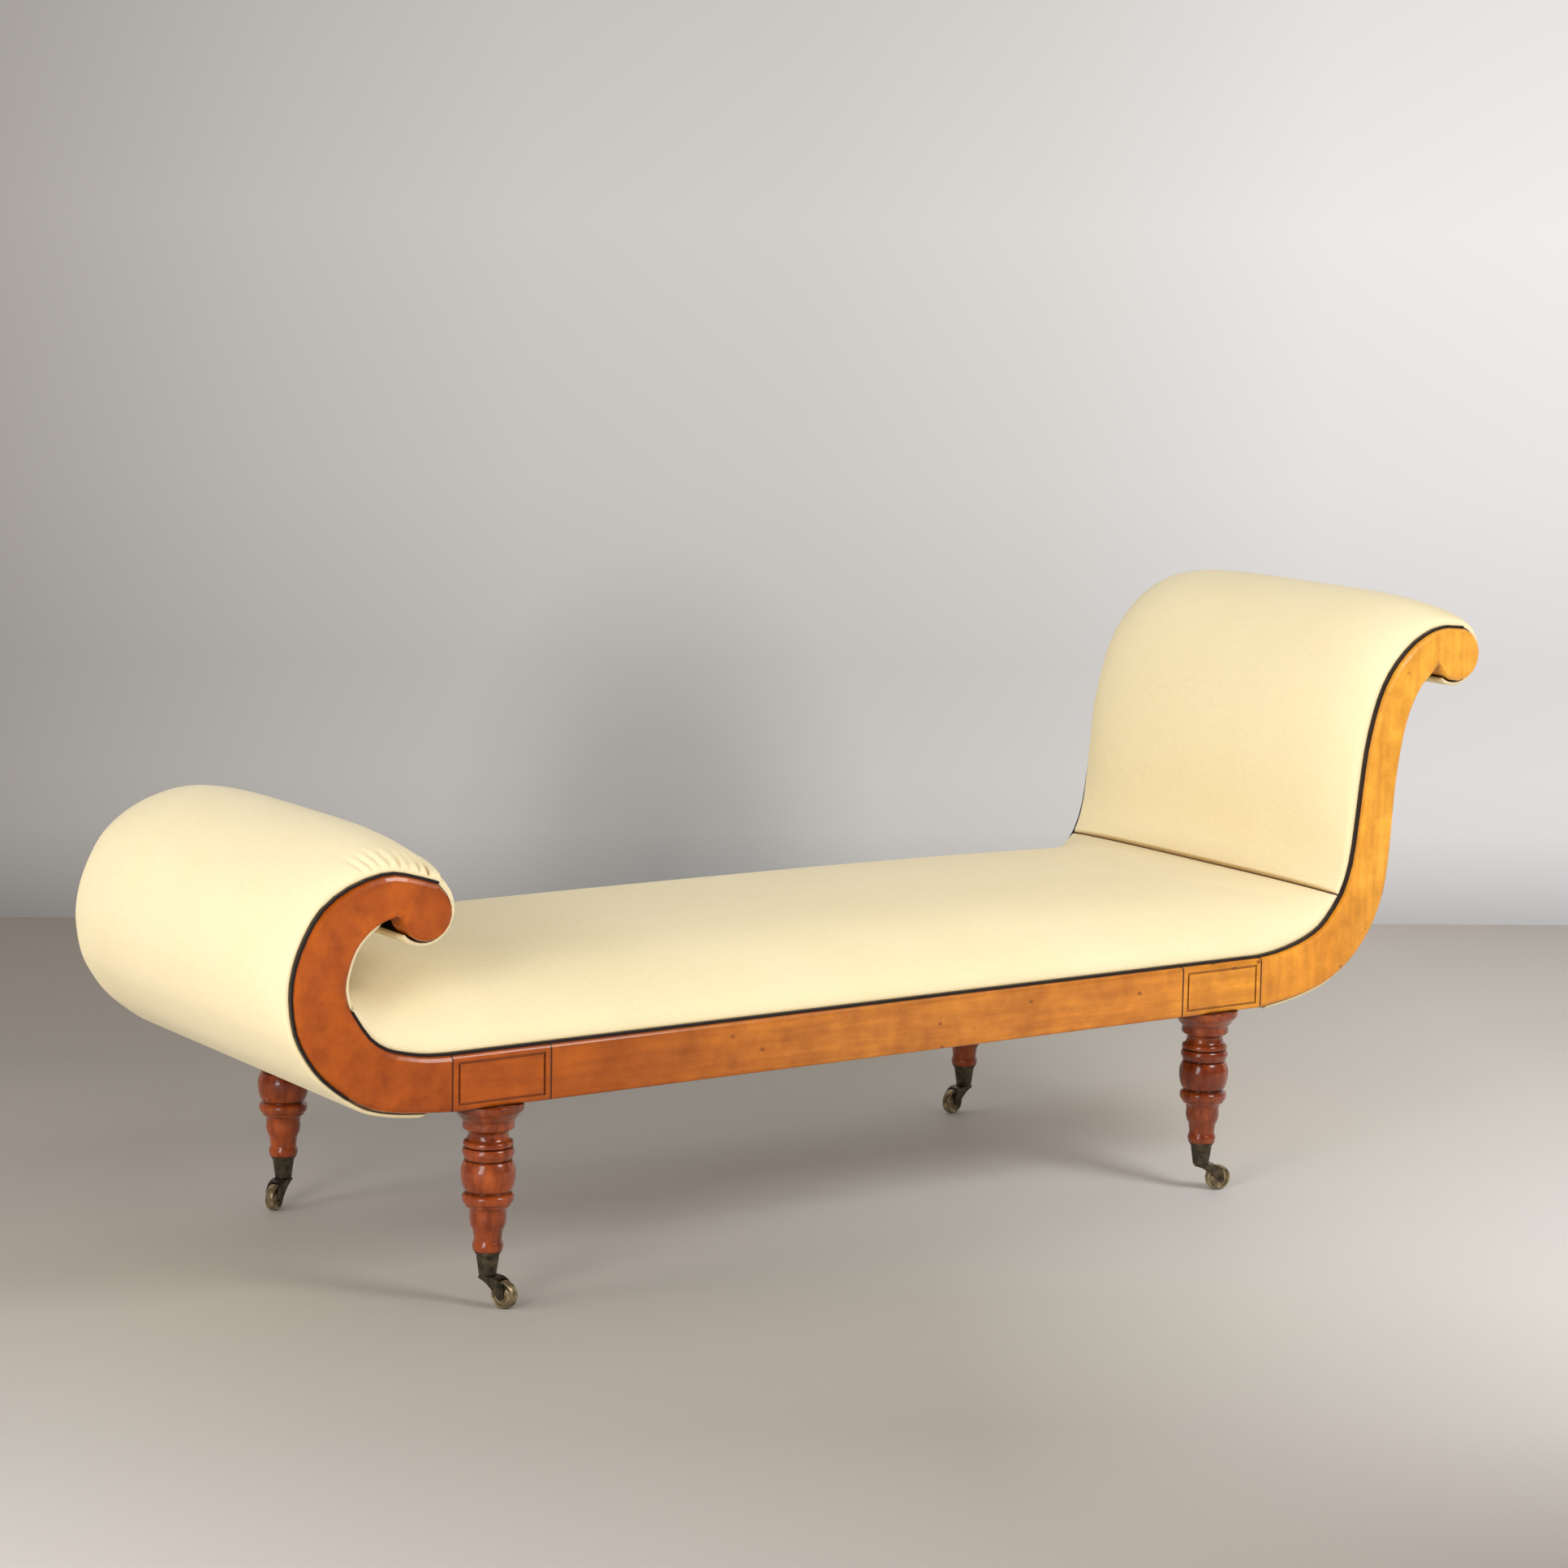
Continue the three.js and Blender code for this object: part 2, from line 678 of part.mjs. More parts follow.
function seatPad() {
  const footPart = partOf(footInner, seatFootSeamShare, 1);
  const headPart = partOf(headFront, 0, seatHeadSeamShare);
  const base = [...footPart, ...headPart];
  const normals = padNormals(base, footSeamNormal, headSeamNormal);
  const lower = raised(base, normals, padLift);
  const last = lower.length - 1;
  const rim = (index, lift) => lower[index].clone().addScaledVector(normals[index], lift);
  const top = railTop + seatLoft;
  const footEnd = rim(0, padEdge + footInsideCrown);
  const headEnd = rim(last, padEdge + headCrown * seamCrownShare);
  const [crownAlong, crownUp] = seatFootCrownShares;
  const crownLine = smoothThrough([
    footEnd,
    point(footJointX - footScrollLength * crownAlong, railTop + seatLoft * crownUp),
    point(footJointX + blockLength, top),
    point(legSpacingAlong / 2, top),
    point(headJointX - blockLength, railTop + seatLoft * seatHeadCrownShare),
    headEnd,
  ]);
  const shares = lengthsAlong(lower).map((length, _, all) => length / all[last]);
  const crownLengths = lengthsAlong(crownLine);
  const crownPoints = shares.map((share) => pointAtShare(crownLine, crownLengths, share));
  return loftAcross((share) => {
    const upper = lower.map((_, index) => rim(index, padEdge).lerp(crownPoints[index], share));
    return [...lower, ...upper.reverse()];
  });
}

function headPad() {
  const path = partOf(headFront, seatHeadSeamShare + padSeamGap / headScrollHeight, headPadEndShare);
  const normals = padNormals(path, headSeamNormal, undefined);
  const [full, fall, flat] = headSwellShares;
  return padAlong(path, normals, headCrown, (along) => {
    const rise = seamCrownShare + (1 - seamCrownShare) * ramp(along, 0, full);
    return rise - ramp(along, fall, flat);
  });
}

function footRollPad() {
  const path = partOf(footOuter, ...footRollPadShares);
  const [rise, full, fall, flat] = footRollSwellShares;
  return padAlong(path, leftNormals(path), footCrown, (along) => (
    ramp(along, rise, full) - ramp(along, fall, flat)
  ));
}

function footInsidePad() {
  const seamShare = seatFootSeamShare - padSeamGap / footScrollHeight;
  const path = partOf(footInner, footInsidePadStartShare, seamShare);
  const normals = padNormals(path, undefined, footSeamNormal);
  return padAlong(path, normals, footInsideCrown, (along) => ramp(along, 0, footInsideSwellShare));
}

function backCover() {
  const path = partOf(headBack, ...backCoverShares);
  return bandAcross(path, webFitGap, backCoverThickness, -padHalfWidth, padHalfWidth);
}

function buildUpholstery() {
  addPiece(couch, 'seat_pad', seatPad(), fabric);
  addPiece(couch, 'head_pad', headPad(), fabric);
  addPiece(couch, 'foot_roll_pad', footRollPad(), fabric);
  addPiece(couch, 'foot_inside_pad', footInsidePad(), fabric);
  addPiece(couch, 'head_back_cover', backCover(), fabric);
}

// Turned legs, with a spigot that fills the caster's cup
const cupBottom = wheelAxisHeight + wheelRadius + cupLift + hornDiscThickness;
const cupTop = cupBottom + cupHeight;

function cupOuterRadius(height) {
  return THREE.MathUtils.lerp(cupBottomRadius, cupTopRadius, (height - cupBottom) / cupHeight);
}

function cupInnerRadius(height) {
  return cupOuterRadius(height) - cupWall;
}

function turnedLeg() {
  const profile = [point(0, railBottom + legTenonLength), point(legTenonRadius, railBottom + legTenonLength)];
  profile.push(point(legTenonRadius, railBottom - jointGap));
  for (const [radius, height] of legProfileShares) {
    profile.push(point(radius * legBulbRadius, height * railBottom - jointGap));
  }
  const spigotTop = cupTop + jointGap;
  const spigotBottom = cupBottom + cupBase + pivotHeadHeight * 2;
  profile.push(point(cupTopRadius, spigotTop));
  profile.push(point(cupInnerRadius(cupTop) - jointGap, spigotTop));
  profile.push(point(cupInnerRadius(spigotBottom) - jointGap, spigotBottom));
  profile.push(point(0, spigotBottom));
  return new THREE.LatheGeometry(profile.reverse(), legSegments).rotateX(Math.PI / 2);
}

// Casters, drawn with the wheel trailing along +x from the swivel axis
function casterCup() {
  const boreRadius = pivotRadius + pivotClearance;
  const floor = cupBottom + cupBase;
  const lipBottom = cupTop - cupLipHeight;
  const lipRadius = cupTopRadius + cupLipProud;
  const profile = [
    point(boreRadius, cupBottom),
    point(cupBottomRadius, cupBottom),
    point(cupOuterRadius(lipBottom), lipBottom),
    point(lipRadius, lipBottom),
    point(lipRadius, cupTop),
    point(cupInnerRadius(cupTop), cupTop),
    point(cupInnerRadius(floor), floor),
    point(boreRadius, floor),
    point(boreRadius, cupBottom),
  ];
  return new THREE.LatheGeometry(profile, legSegments).rotateX(Math.PI / 2);
}

function crossPin(radius, length, segments) {
  return new THREE.CylinderGeometry(radius, radius, length, segments)
    .translate(casterTrail, 0, wheelAxisHeight);
}

function casterHorn() {
  const back = -hornDiscRadius * hornBackShare;
  const discTop = cupBottom - cupLift;
  const discBottom = discTop - hornDiscThickness;
  const cheek = new THREE.Shape();
  cheek.moveTo(back, discTop);
  cheek.lineTo(hornDiscRadius, discTop);
  cheek.quadraticCurveTo(
    casterTrail + hornEyeRadius,
    discTop,
    casterTrail + hornEyeRadius,
    wheelAxisHeight,
  );
  cheek.absarc(casterTrail, wheelAxisHeight, hornEyeRadius, 0, -Math.PI * hornEyeTurnShare, true);
  cheek.quadraticCurveTo(hornDiscRadius, discBottom - hornDiscThickness, back, discBottom);
  cheek.closePath();
  const fork = new THREE.ExtrudeGeometry(cheek, {
    depth: forkWidth,
    bevelEnabled: false,
    curveSegments: hornCurveSteps,
  }).rotateX(Math.PI / 2).translate(0, forkWidth / 2, 0);
  const disc = uprightCylinder(0, 0, hornDiscRadius, discBottom, discTop, legSegments);
  const headBottom = cupBottom + cupBase + cupLift;
  const headTop = headBottom + pivotHeadHeight;
  const stem = uprightCylinder(0, 0, pivotRadius, discBottom, headTop, pinSegments);
  const head = uprightCylinder(0, 0, pivotHeadRadius, headBottom, headTop, pinSegments);
  const slot = crossPin(wheelRadius + forkWheelGap, slotWidth, slotSegments);
  const bore = crossPin(axleRadius + axleClearance, forkWidth * 2, pinSegments);
  return cut(join(fork, disc, stem, head), slot, bore);
}

function casterWheel() {
  const bore = axleRadius + axleClearance;
  const rimInner = wheelRadius - wheelRimThickness;
  const half = wheelWidth / 2;
  const web = wheelWebWidth / 2;
  const profile = [
    point(bore, -half),
    point(wheelHubRadius, -half),
    point(wheelHubRadius, -web),
    point(rimInner, -web),
    point(rimInner, -half),
    point(wheelRadius, -half),
    point(wheelRadius, half),
    point(rimInner, half),
    point(rimInner, web),
    point(wheelHubRadius, web),
    point(wheelHubRadius, half),
    point(bore, half),
    point(bore, -half),
  ];
  return new THREE.LatheGeometry(profile, wheelSegments)
    .rotateY(Math.PI / wheelSegments)
    .translate(casterTrail, 0, wheelAxisHeight);
}

function casterAxle() {
  return crossPin(axleRadius, forkWidth + axleClearance * 2, pinSegments);
}

function buildLeg(label, x, y) {
  const leg = new THREE.Group();
  leg.position.set(x, y, 0);
  couch.add(leg);
  addPiece(leg, `${label}_leg`, turnedLeg(), mahogany);
  addPiece(leg, `${label}_caster_cup`, casterCup(), brass);
  const swivel = new THREE.Group();
  swivel.rotation.z = casterHeadings[label];
  leg.add(swivel);
  addPiece(swivel, `${label}_caster_horn`, casterHorn(), brass);
  addPiece(swivel, `${label}_caster_wheel`, casterWheel(), brass);
  addPiece(swivel, `${label}_caster_axle`, casterAxle(), brass);
}

const sides = { front: -1, rear: 1 };
for (const [label, side] of Object.entries(sides)) {
  buildSideFrame(side, label);
  buildBeads(side, label);
  buildLeg(`${label}_foot`, 0, side * legSpacingAcross / 2);
  buildLeg(`${label}_head`, legSpacingAlong, side * legSpacingAcross / 2);
}
buildCrossMembers();
buildWebbing();
buildUpholstery();

// The origin lies on the floor, under the middle of the couch's length and width
const extent = new THREE.Box3().setFromObject(couch, true);
couch.position.x = -(extent.min.x + extent.max.x) / 2;
couch.position.y = -(extent.min.y + extent.max.y) / 2;

export default couch;
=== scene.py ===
import json
import math
import bmesh
import bpy
import numpy as np
from mathutils import Matrix, Vector


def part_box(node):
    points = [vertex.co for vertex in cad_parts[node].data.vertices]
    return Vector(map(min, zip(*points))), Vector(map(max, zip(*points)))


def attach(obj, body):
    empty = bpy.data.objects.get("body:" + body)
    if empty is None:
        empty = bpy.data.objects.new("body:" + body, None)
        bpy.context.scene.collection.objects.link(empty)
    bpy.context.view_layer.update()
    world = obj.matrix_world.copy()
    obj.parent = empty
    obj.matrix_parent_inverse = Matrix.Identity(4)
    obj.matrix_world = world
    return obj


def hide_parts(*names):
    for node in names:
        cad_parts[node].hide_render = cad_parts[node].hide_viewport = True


# The looks of a fainting couch: upholstery, polished wood, beads and brass, in metres.
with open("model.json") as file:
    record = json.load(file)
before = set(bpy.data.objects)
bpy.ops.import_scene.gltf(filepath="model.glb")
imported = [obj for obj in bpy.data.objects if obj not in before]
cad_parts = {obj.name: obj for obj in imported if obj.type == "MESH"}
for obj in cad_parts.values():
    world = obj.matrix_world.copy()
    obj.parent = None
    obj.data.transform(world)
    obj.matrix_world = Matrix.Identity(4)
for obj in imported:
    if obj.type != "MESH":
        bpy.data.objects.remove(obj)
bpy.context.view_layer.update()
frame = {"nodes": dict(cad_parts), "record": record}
MM = 0.001

# Places read from the frame
rail_low, rail_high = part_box("front_rail")
rear_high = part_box("rear_rail")[1]
block_low, block_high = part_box("front_foot_block")
head_block_low, head_block_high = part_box("front_head_block")
MIDDLE_Y = (rail_low.y + rear_high.y) / 2
HALF_WIDTH = (rear_high.y - rail_low.y) / 2
RAIL_BOTTOM = rail_low.z
RAIL_TOP = rail_high.z
FOOT_JOINT_X = block_low.x
HEAD_JOINT_X = head_block_high.x
FOOT_LEG_X = (block_low.x + block_high.x) / 2

# Outlines of the scrolls, the same shares as the frame's
FOOT_LENGTH = 215 * MM
FOOT_HEIGHT = 302 * MM
FOOT_KNOB_RADIUS = 34.5 * MM
FOOT_KNOB_SHARES = (0.156, 0.831)
FOOT_KNOB_TURN = (0.2, -0.97)
FOOT_OUTER_SHARES = (
    (0, 0), (0.31, 0.02), (0.515, 0.054), (0.658, 0.115), (0.802, 0.199), (0.896, 0.285), (0.97, 0.392),
    (0.998, 0.537), (0.974, 0.659), (0.906, 0.776), (0.802, 0.882), (0.636, 0.959), (0.433, 1),
    (0.292, 0.992),
)
FOOT_INNER_SHARES = (
    (0.463, 0.805), (0.546, 0.763), (0.609, 0.709), (0.651, 0.636), (0.672, 0.56), (0.656, 0.491),
    (0.613, 0.432), (0.519, 0.339), (0.41, 0.285), (0.28, 0.257), (0.14, 0.24),
)
HEAD_LENGTH = 390 * MM
HEAD_HEIGHT = 520 * MM
HEAD_KNOB_RADIUS = 38 * MM
HEAD_KNOB_SHARES = (0.905, 0.923)
HEAD_KNOB_TURN = (0.42, -0.87)
HEAD_MOUTH_SHARES = (1.06, 0.32)
HEAD_FRONT_SHARES = (
    (0.082, 0.143), (0.182, 0.161), (0.264, 0.186), (0.32, 0.218), (0.391, 0.287), (0.43, 0.366),
    (0.451, 0.467), (0.467, 0.567), (0.487, 0.676), (0.519, 0.771), (0.56, 0.848), (0.618, 0.909),
    (0.699, 0.962), (0.786, 0.992), (0.85, 0.999),
)
HEAD_BACK_SHARES = (
    (0.771, 0.874), (0.727, 0.845), (0.686, 0.795), (0.658, 0.741), (0.636, 0.671), (0.618, 0.583),
    (0.608, 0.492), (0.6, 0.402), (0.586, 0.314), (0.564, 0.251), (0.522, 0.185), (0.457, 0.122),
    (0.385, 0.077), (0.288, 0.04), (0.152, 0.015),
)
KNOB_ENTRY_SHARES = (0.42, 1.03)
NOTCH_REACH_SHARE = 1.2
SPAN_STEPS = 8
KNOB_STEPS = 40

# Upholstery, over the webbing on the frame's edge
PAD_LIFT = 2.6 * MM
PAD_EDGE = 5 * MM
EDGE_INSET = 11.3 * MM
CROWN_FLATNESS = 4
CROWN_FALL = 0.6
SEAT_LOFT = 90 * MM
SEAT_FOOT_CROWN_SHARES = (0.36, 0.92)
SEAT_HEAD_CROWN_SHARE = 0.98
SEAM_CROWN_SHARE = 0.2
SEAT_FOOT_SEAM = 0.48
SEAT_HEAD_SEAM = 0.215
SEAM_GAP_SHARE = 0.0015
HEAD_CROWN = 36 * MM
HEAD_PAD_END = 0.975
HEAD_SWELL_SHARES = (0.33, 0.69, 0.95)
FOOT_CROWN = 35.5 * MM
FOOT_PAD_SHARES = (0.04, 0.97)
FOOT_SWELL_SHARES = (0.24, 0.72, 0.75, 0.94)
FOOT_INSIDE_CROWN = 10 * MM
FOOT_INSIDE_START = 0.06
FOOT_INSIDE_SWELL = 0.4
BACK_COVER_SHARES = (0.03, 0.97)
PAD_HALF_WIDTH = HALF_WIDTH - EDGE_INSET
SEAM_ROLL = 8 * MM
FINE_STEP = 1.0 * MM
COARSE_STEP = 7 * MM
# Where the steps along an outline are fine, as shares of its length: at seams, at ends and over the gathers
HEAD_SEAM_FINE = 0.012
SEAT_SEAM_FINE = 0.02
LINING_SEAM_FINE = 0.03
END_FINE = 0.01
GATHERS_FINE = (0.60, 0.83)
ACROSS_STATIONS = 84

# Gathers over the volute of the foot roll: place along the outline, strength and lean
PLEATS = (
    (0.666, 0.5, -0.24), (0.682, 0.7, -0.2), (0.697, 0.6, -0.16), (0.712, 0.8, -0.12), (0.729, 0.9, -0.08),
    (0.746, 0.7, -0.05), (0.765, 0.9, -0.02), (0.783, 1.35, 0), (0.806, 0.7, 0.04),
)
PLEAT_DEPTH = 5 * MM
PLEAT_WIDTH = 2.1 * MM
PLEAT_REACH = 38 * MM
PLEAT_FULL_SHARE = 0.3
PLEAT_START = 4 * MM

# The cloth under tension: sheets that are held at their edges and pressed outwards
SHEET_STATIONS = 37
SHEET_STEP = 17 * MM
SHEET_FRAMES = 20
SHEET_HOLD = 26 * MM
SHEET_CAP = 22 * MM
SHEET_QUALITY = 6
SHEET_MASS = 0.3
SHEET_BENDING = 1.5
# Pressure and stiffness of each sheet
PRESSED = {"seat_pad": (1, 60), "head_pad": (12, 18), "foot_roll_pad": (12, 18)}

# Turned leg, radii as shares of the bulb's radius and heights as shares of the leg's height
LEG_BULB_RADIUS = 34.6 * MM
LEG_TENON_RADIUS = 16 * MM
LEG_TENON_LENGTH = 48 * MM
TURNED_SEGMENTS = 64
TURNED_STEPS = 4
TURNED_GAP = 0.3 * MM
LEG_PROFILE_SHARES = (
    (1.3, 1), (1.3, 0.972), (1.16, 0.95), (1.02, 0.925), (0.94, 0.912), (0.94, 0.878), (0.8, 0.866),
    (0.73, 0.852), (0.735, 0.838), (0.79, 0.821), (0.89, 0.812), (0.915, 0.797), (0.9, 0.789),
    (0.825, 0.785), (0.9, 0.78), (0.945, 0.765), (0.945, 0.752), (0.9, 0.738), (0.88, 0.728),
    (0.81, 0.722), (0.88, 0.715), (0.945, 0.695), (0.99, 0.675), (1, 0.65), (0.98, 0.62), (0.93, 0.593),
    (0.87, 0.574), (0.79, 0.565), (0.88, 0.556), (0.94, 0.545), (0.945, 0.53), (0.92, 0.514), (0.85, 0.507),
    (0.83, 0.495), (0.72, 0.484), (0.665, 0.462), (0.67, 0.431), (0.65, 0.405), (0.6, 0.385),
    (0.555, 0.373), (0.53, 0.351), (0.51, 0.325), (0.55, 0.31), (0.57, 0.295), (0.545, 0.28),
)
WHEEL_WIDTH = 12 * MM
WHEEL_BORE = 2.9 * MM
WHEEL_PROFILE_SHARES = (
    (0.4, 1), (0.44, 0.6), (0.74, 0.52), (0.8, 0.92), (0.9, 1), (0.965, 0.86), (1, 0.5),
)

# The camera, fitted to the photograph, from the foot leg's axis and the frame's front face
CAMERA_OFFSET = (-2.4477, -4.2819)
CAMERA_HEIGHT = 1.424
CAMERA_YAW = math.radians(33.73)
CAMERA_PITCH = math.radians(8.70)
CAMERA_ROLL = math.radians(0.98)
CAMERA_LENS = 93.48
CAMERA_SENSOR = 36.0

# The wall: its turn, where its shaded part starts, that part's length and height, and the whole wall's size
WALL_YAW = math.radians(30)
WALL_START = (-0.167, 2.445)
WALL_SPAN = 2.98
WALL_TOP = 1.75
WALL_REACH = 9.0
WALL_HEIGHT = 7.0
# Middle and half size of the couch's shadow on the wall, along it and upwards
SHADOW_MIDDLE = (1.23, 0.12)
SHADOW_HALF_SIZE = (0.42, 0.6)

FLOOR_REACH = 14.0
FLOOR_DEPTH = 4.0
# Colours of the floor by distance from the wall, as shares of its depth, at the left, middle and right.
# They paint light and shade onto the floor: lighter towards the right, a light band half way out in the
# middle and a dark band at the front right.
FLOOR_COLUMNS = (
    (
        (0.02, (0.35, 0.3, 0.255)), (0.3, (0.365, 0.325, 0.275)), (0.5, (0.49, 0.44, 0.39)),
        (0.65, (0.49, 0.445, 0.4)), (0.78, (0.54, 0.5, 0.45)), (0.9, (0.62, 0.575, 0.53)),
    ),
    (
        (0.02, (0.45, 0.41, 0.36)), (0.3, (0.5, 0.46, 0.4)), (0.5, (0.7, 0.68, 0.65)),
        (0.65, (0.48, 0.45, 0.385)), (0.78, (0.41, 0.37, 0.32)), (0.9, (0.47, 0.415, 0.37)),
        (1.0, (0.6, 0.56, 0.52)),
    ),
    (
        (0.02, (0.67, 0.61, 0.55)), (0.3, (0.8, 0.75, 0.7)), (0.5, (0.8, 0.77, 0.73)),
        (0.65, (0.8, 0.78, 0.73)), (0.78, (0.68, 0.64, 0.6)), (0.9, (0.3, 0.275, 0.24)),
        (1.0, (0.6, 0.56, 0.52)),
    ),
)
# Where along the wall the left colours turn into the middle ones, and the middle ones into the right ones
LEFT_TO_MIDDLE = (WALL_SPAN * 0.15, WALL_SPAN * 0.5)
MIDDLE_TO_RIGHT = (WALL_SPAN * 0.5, WALL_SPAN * 0.85)

# Lamps: name, place, target, size, power and whether they show in reflections
LAMPS = (
    ("left_softbox", (-4.0, 0.2, 1.6), (0, 0, 0.4), 1.2, 28, False),
    ("key_softbox", (-3.3, -1.9, 2.0), (0, 0, 0.4), 1.1, 24, True),
    ("low_softbox", (-3.3, -1.7, 0.8), (0, 0, 0.4), 1, 22, True),
    ("right_softbox", (0.9, -2.6, 2.2), (0.6, 0, 0.5), 1, 44, True),
    ("top_softbox", (0.4, 0.8, 4.2), (0, 0, 0.3), 3, 4, False),
)
# The room round them: its tones from the horizon upwards, its light and how strong it is in reflections
ROOM_TONES = ((0, (1, 1, 1)), (0.2, (0.83, 0.83, 0.83)), (0.7, (0.14, 0.14, 0.14)))
ROOM_LIGHT = 1.82
ROOM_REFLECTION = 0.1


# Flat outlines, as arrays of x and z
def foot_point(share):
    """A place on the foot scroll, by shares of its length and height."""
    return (FOOT_JOINT_X - share[0] * FOOT_LENGTH, RAIL_BOTTOM + share[1] * FOOT_HEIGHT)


def head_point(share):
    """A place on the head scroll, by shares of its length and height."""
    return (HEAD_JOINT_X + share[0] * HEAD_LENGTH, RAIL_BOTTOM + share[1] * HEAD_HEIGHT)


def smooth_through(points, steps=SPAN_STEPS):
    """A uniform Catmull-Rom curve through the points."""
    p = np.array(points, float)
    last = len(p) - 1
    out = []
    for k in range(last * steps + 1):
        i = min(k // steps, last)
        t = (k - i * steps) / steps
        a, b = p[max(i - 1, 0)], p[i]
        c, d = p[min(i + 1, last)], p[min(i + 2, last)]
        v0, v1 = (c - a) / 2, (d - b) / 2
        out.append((2 * b - 2 * c + v0 + v1) * t**3 + (-3 * b + 3 * c - 2 * v0 - v1) * t**2 + v0 * t + b)
    return np.array(out)


def knob_arc(centre, radius, turn_shares):
    """The round tip of a scroll, between two turns counted in half circles."""
    turn = np.linspace(math.pi * turn_shares[0], math.pi * turn_shares[1], KNOB_STEPS + 1)
    return np.column_stack([centre[0] + radius * np.cos(turn), centre[1] + radius * np.sin(turn)])


foot_knob = foot_point(FOOT_KNOB_SHARES)
head_knob = head_point(HEAD_KNOB_SHARES)


def foot_outer_path():
    """The foot scroll's outside, from under the rail up and round its knob."""
    entry = (
        foot_knob[0] + FOOT_KNOB_RADIUS * KNOB_ENTRY_SHARES[0],
        foot_knob[1] + FOOT_KNOB_RADIUS * KNOB_ENTRY_SHARES[1],
    )
    sweep = smooth_through([foot_point(s) for s in FOOT_OUTER_SHARES] + [entry])
    return np.vstack([sweep, knob_arc(foot_knob, FOOT_KNOB_RADIUS, FOOT_KNOB_TURN)])


def foot_inner_path():
    """The foot scroll's inside, from its mouth down to the rail."""
    mouth = (foot_knob[0] - FOOT_KNOB_RADIUS * NOTCH_REACH_SHARE, foot_knob[1])
    inside = [foot_point(s) for s in FOOT_INNER_SHARES]
    return smooth_through([mouth] + inside + [(FOOT_JOINT_X, RAIL_TOP)])


def head_front_path():
    """The head scroll's seat side, from the rail up and round its knob."""
    sweep = smooth_through([(HEAD_JOINT_X, RAIL_TOP)] + [head_point(s) for s in HEAD_FRONT_SHARES])
    return np.vstack([sweep, knob_arc(head_knob, HEAD_KNOB_RADIUS, HEAD_KNOB_TURN)])


def head_back_path():
    """The head scroll's back, from its mouth down under the rail."""
    mouth = (
        head_knob[0] - HEAD_KNOB_RADIUS * HEAD_MOUTH_SHARES[0],
        head_knob[1] - HEAD_KNOB_RADIUS * HEAD_MOUTH_SHARES[1],
    )
    outside = [head_point(s) for s in HEAD_BACK_SHARES]
    return smooth_through([mouth] + outside + [(HEAD_JOINT_X, RAIL_BOTTOM)])


def lengths_along(path):
    """Lengths from a path's start to each of its points."""
    steps = np.linalg.norm(np.diff(path, axis=0), axis=1)
    return np.concatenate([[0], np.cumsum(steps)])


def at_lengths(path, wanted):
    """Points of a path at the wanted lengths along it."""
    lengths = lengths_along(path)
    return np.column_stack([np.interp(wanted, lengths, path[:, k]) for k in (0, 1)])


def stretch(path, start, end, fine=()):
    """Points of a path between two shares of its length, closer together in the fine ranges of shares."""
    total = lengths_along(path)[-1]
    at = start * total
    wanted = [at]
    while at < end * total:
        near = any(low <= at / total <= high for low, high in fine)
        at += FINE_STEP if near else COARSE_STEP
        wanted.append(min(at, end * total))
    return at_lengths(path, np.array(wanted))


def left_normals(path):
    """Unit directions to the left of a path, at each of its points."""
    along = np.gradient(path, axis=0)
    along /= np.linalg.norm(along, axis=1)[:, None]
    return np.column_stack([-along[:, 1], along[:, 0]])


def ramp(value, low, high):
    """0 below the low end, 1 above the high end and smooth in between."""
    t = np.clip((value - low) / (high - low), 0, 1)
    return t * t * (3 - 2 * t)


def quarter_round(distance):
    """Height of a quarter circle of radius 1 at a distance from its outer end."""
    return np.sqrt(1 - np.clip(1 - distance, 0, 1) ** 2)


# Meshes
def tidy_mesh(name, verts, faces):
    """A new smooth object from points and faces, with double points merged and its normals outwards."""
    mesh = bpy.data.meshes.new(name)
    mesh.from_pydata(verts, [], faces)
    bm = bmesh.new()
    bm.from_mesh(mesh)
    bmesh.ops.remove_doubles(bm, verts=bm.verts, dist=0.02 * MM)
    bmesh.ops.dissolve_degenerate(bm, edges=bm.edges, dist=0.01 * MM)
    bmesh.ops.recalc_face_normals(bm, faces=bm.faces)
    for face in bm.faces:
        face.smooth = True
    bm.to_mesh(mesh)
    bm.free()
    obj = bpy.data.objects.new(name, mesh)
    bpy.context.scene.collection.objects.link(obj)
    return obj


def turned(name, profile, centre, axis):
    """A body turned about an axis, from a profile of radii and places along the axis."""
    along = Vector(axis).normalized()
    side = along.orthogonal().normalized()
    other = along.cross(side)
    turns = [2 * math.pi * k / TURNED_SEGMENTS for k in range(TURNED_SEGMENTS)]
    spokes = [side * math.cos(turn) + other * math.sin(turn) for turn in turns]
    verts = []
    rows = []
    for radius, place in profile:
        middle = Vector(centre) + along * place
        points = [middle] if radius == 0 else [middle + spoke * radius for spoke in spokes]
        rows.append((len(verts), len(points)))
        verts += points
    faces = []
    for (start, count), (next_start, next_count) in zip(rows, rows[1:]):
        for k in range(TURNED_SEGMENTS):
            n = (k + 1) % TURNED_SEGMENTS
            a, b = start + k % count, start + n % count
            c, d = next_start + n % next_count, next_start + k % next_count
            faces.append(tuple(dict.fromkeys((a, b, c, d))))
    return tidy_mesh(name, verts, faces)


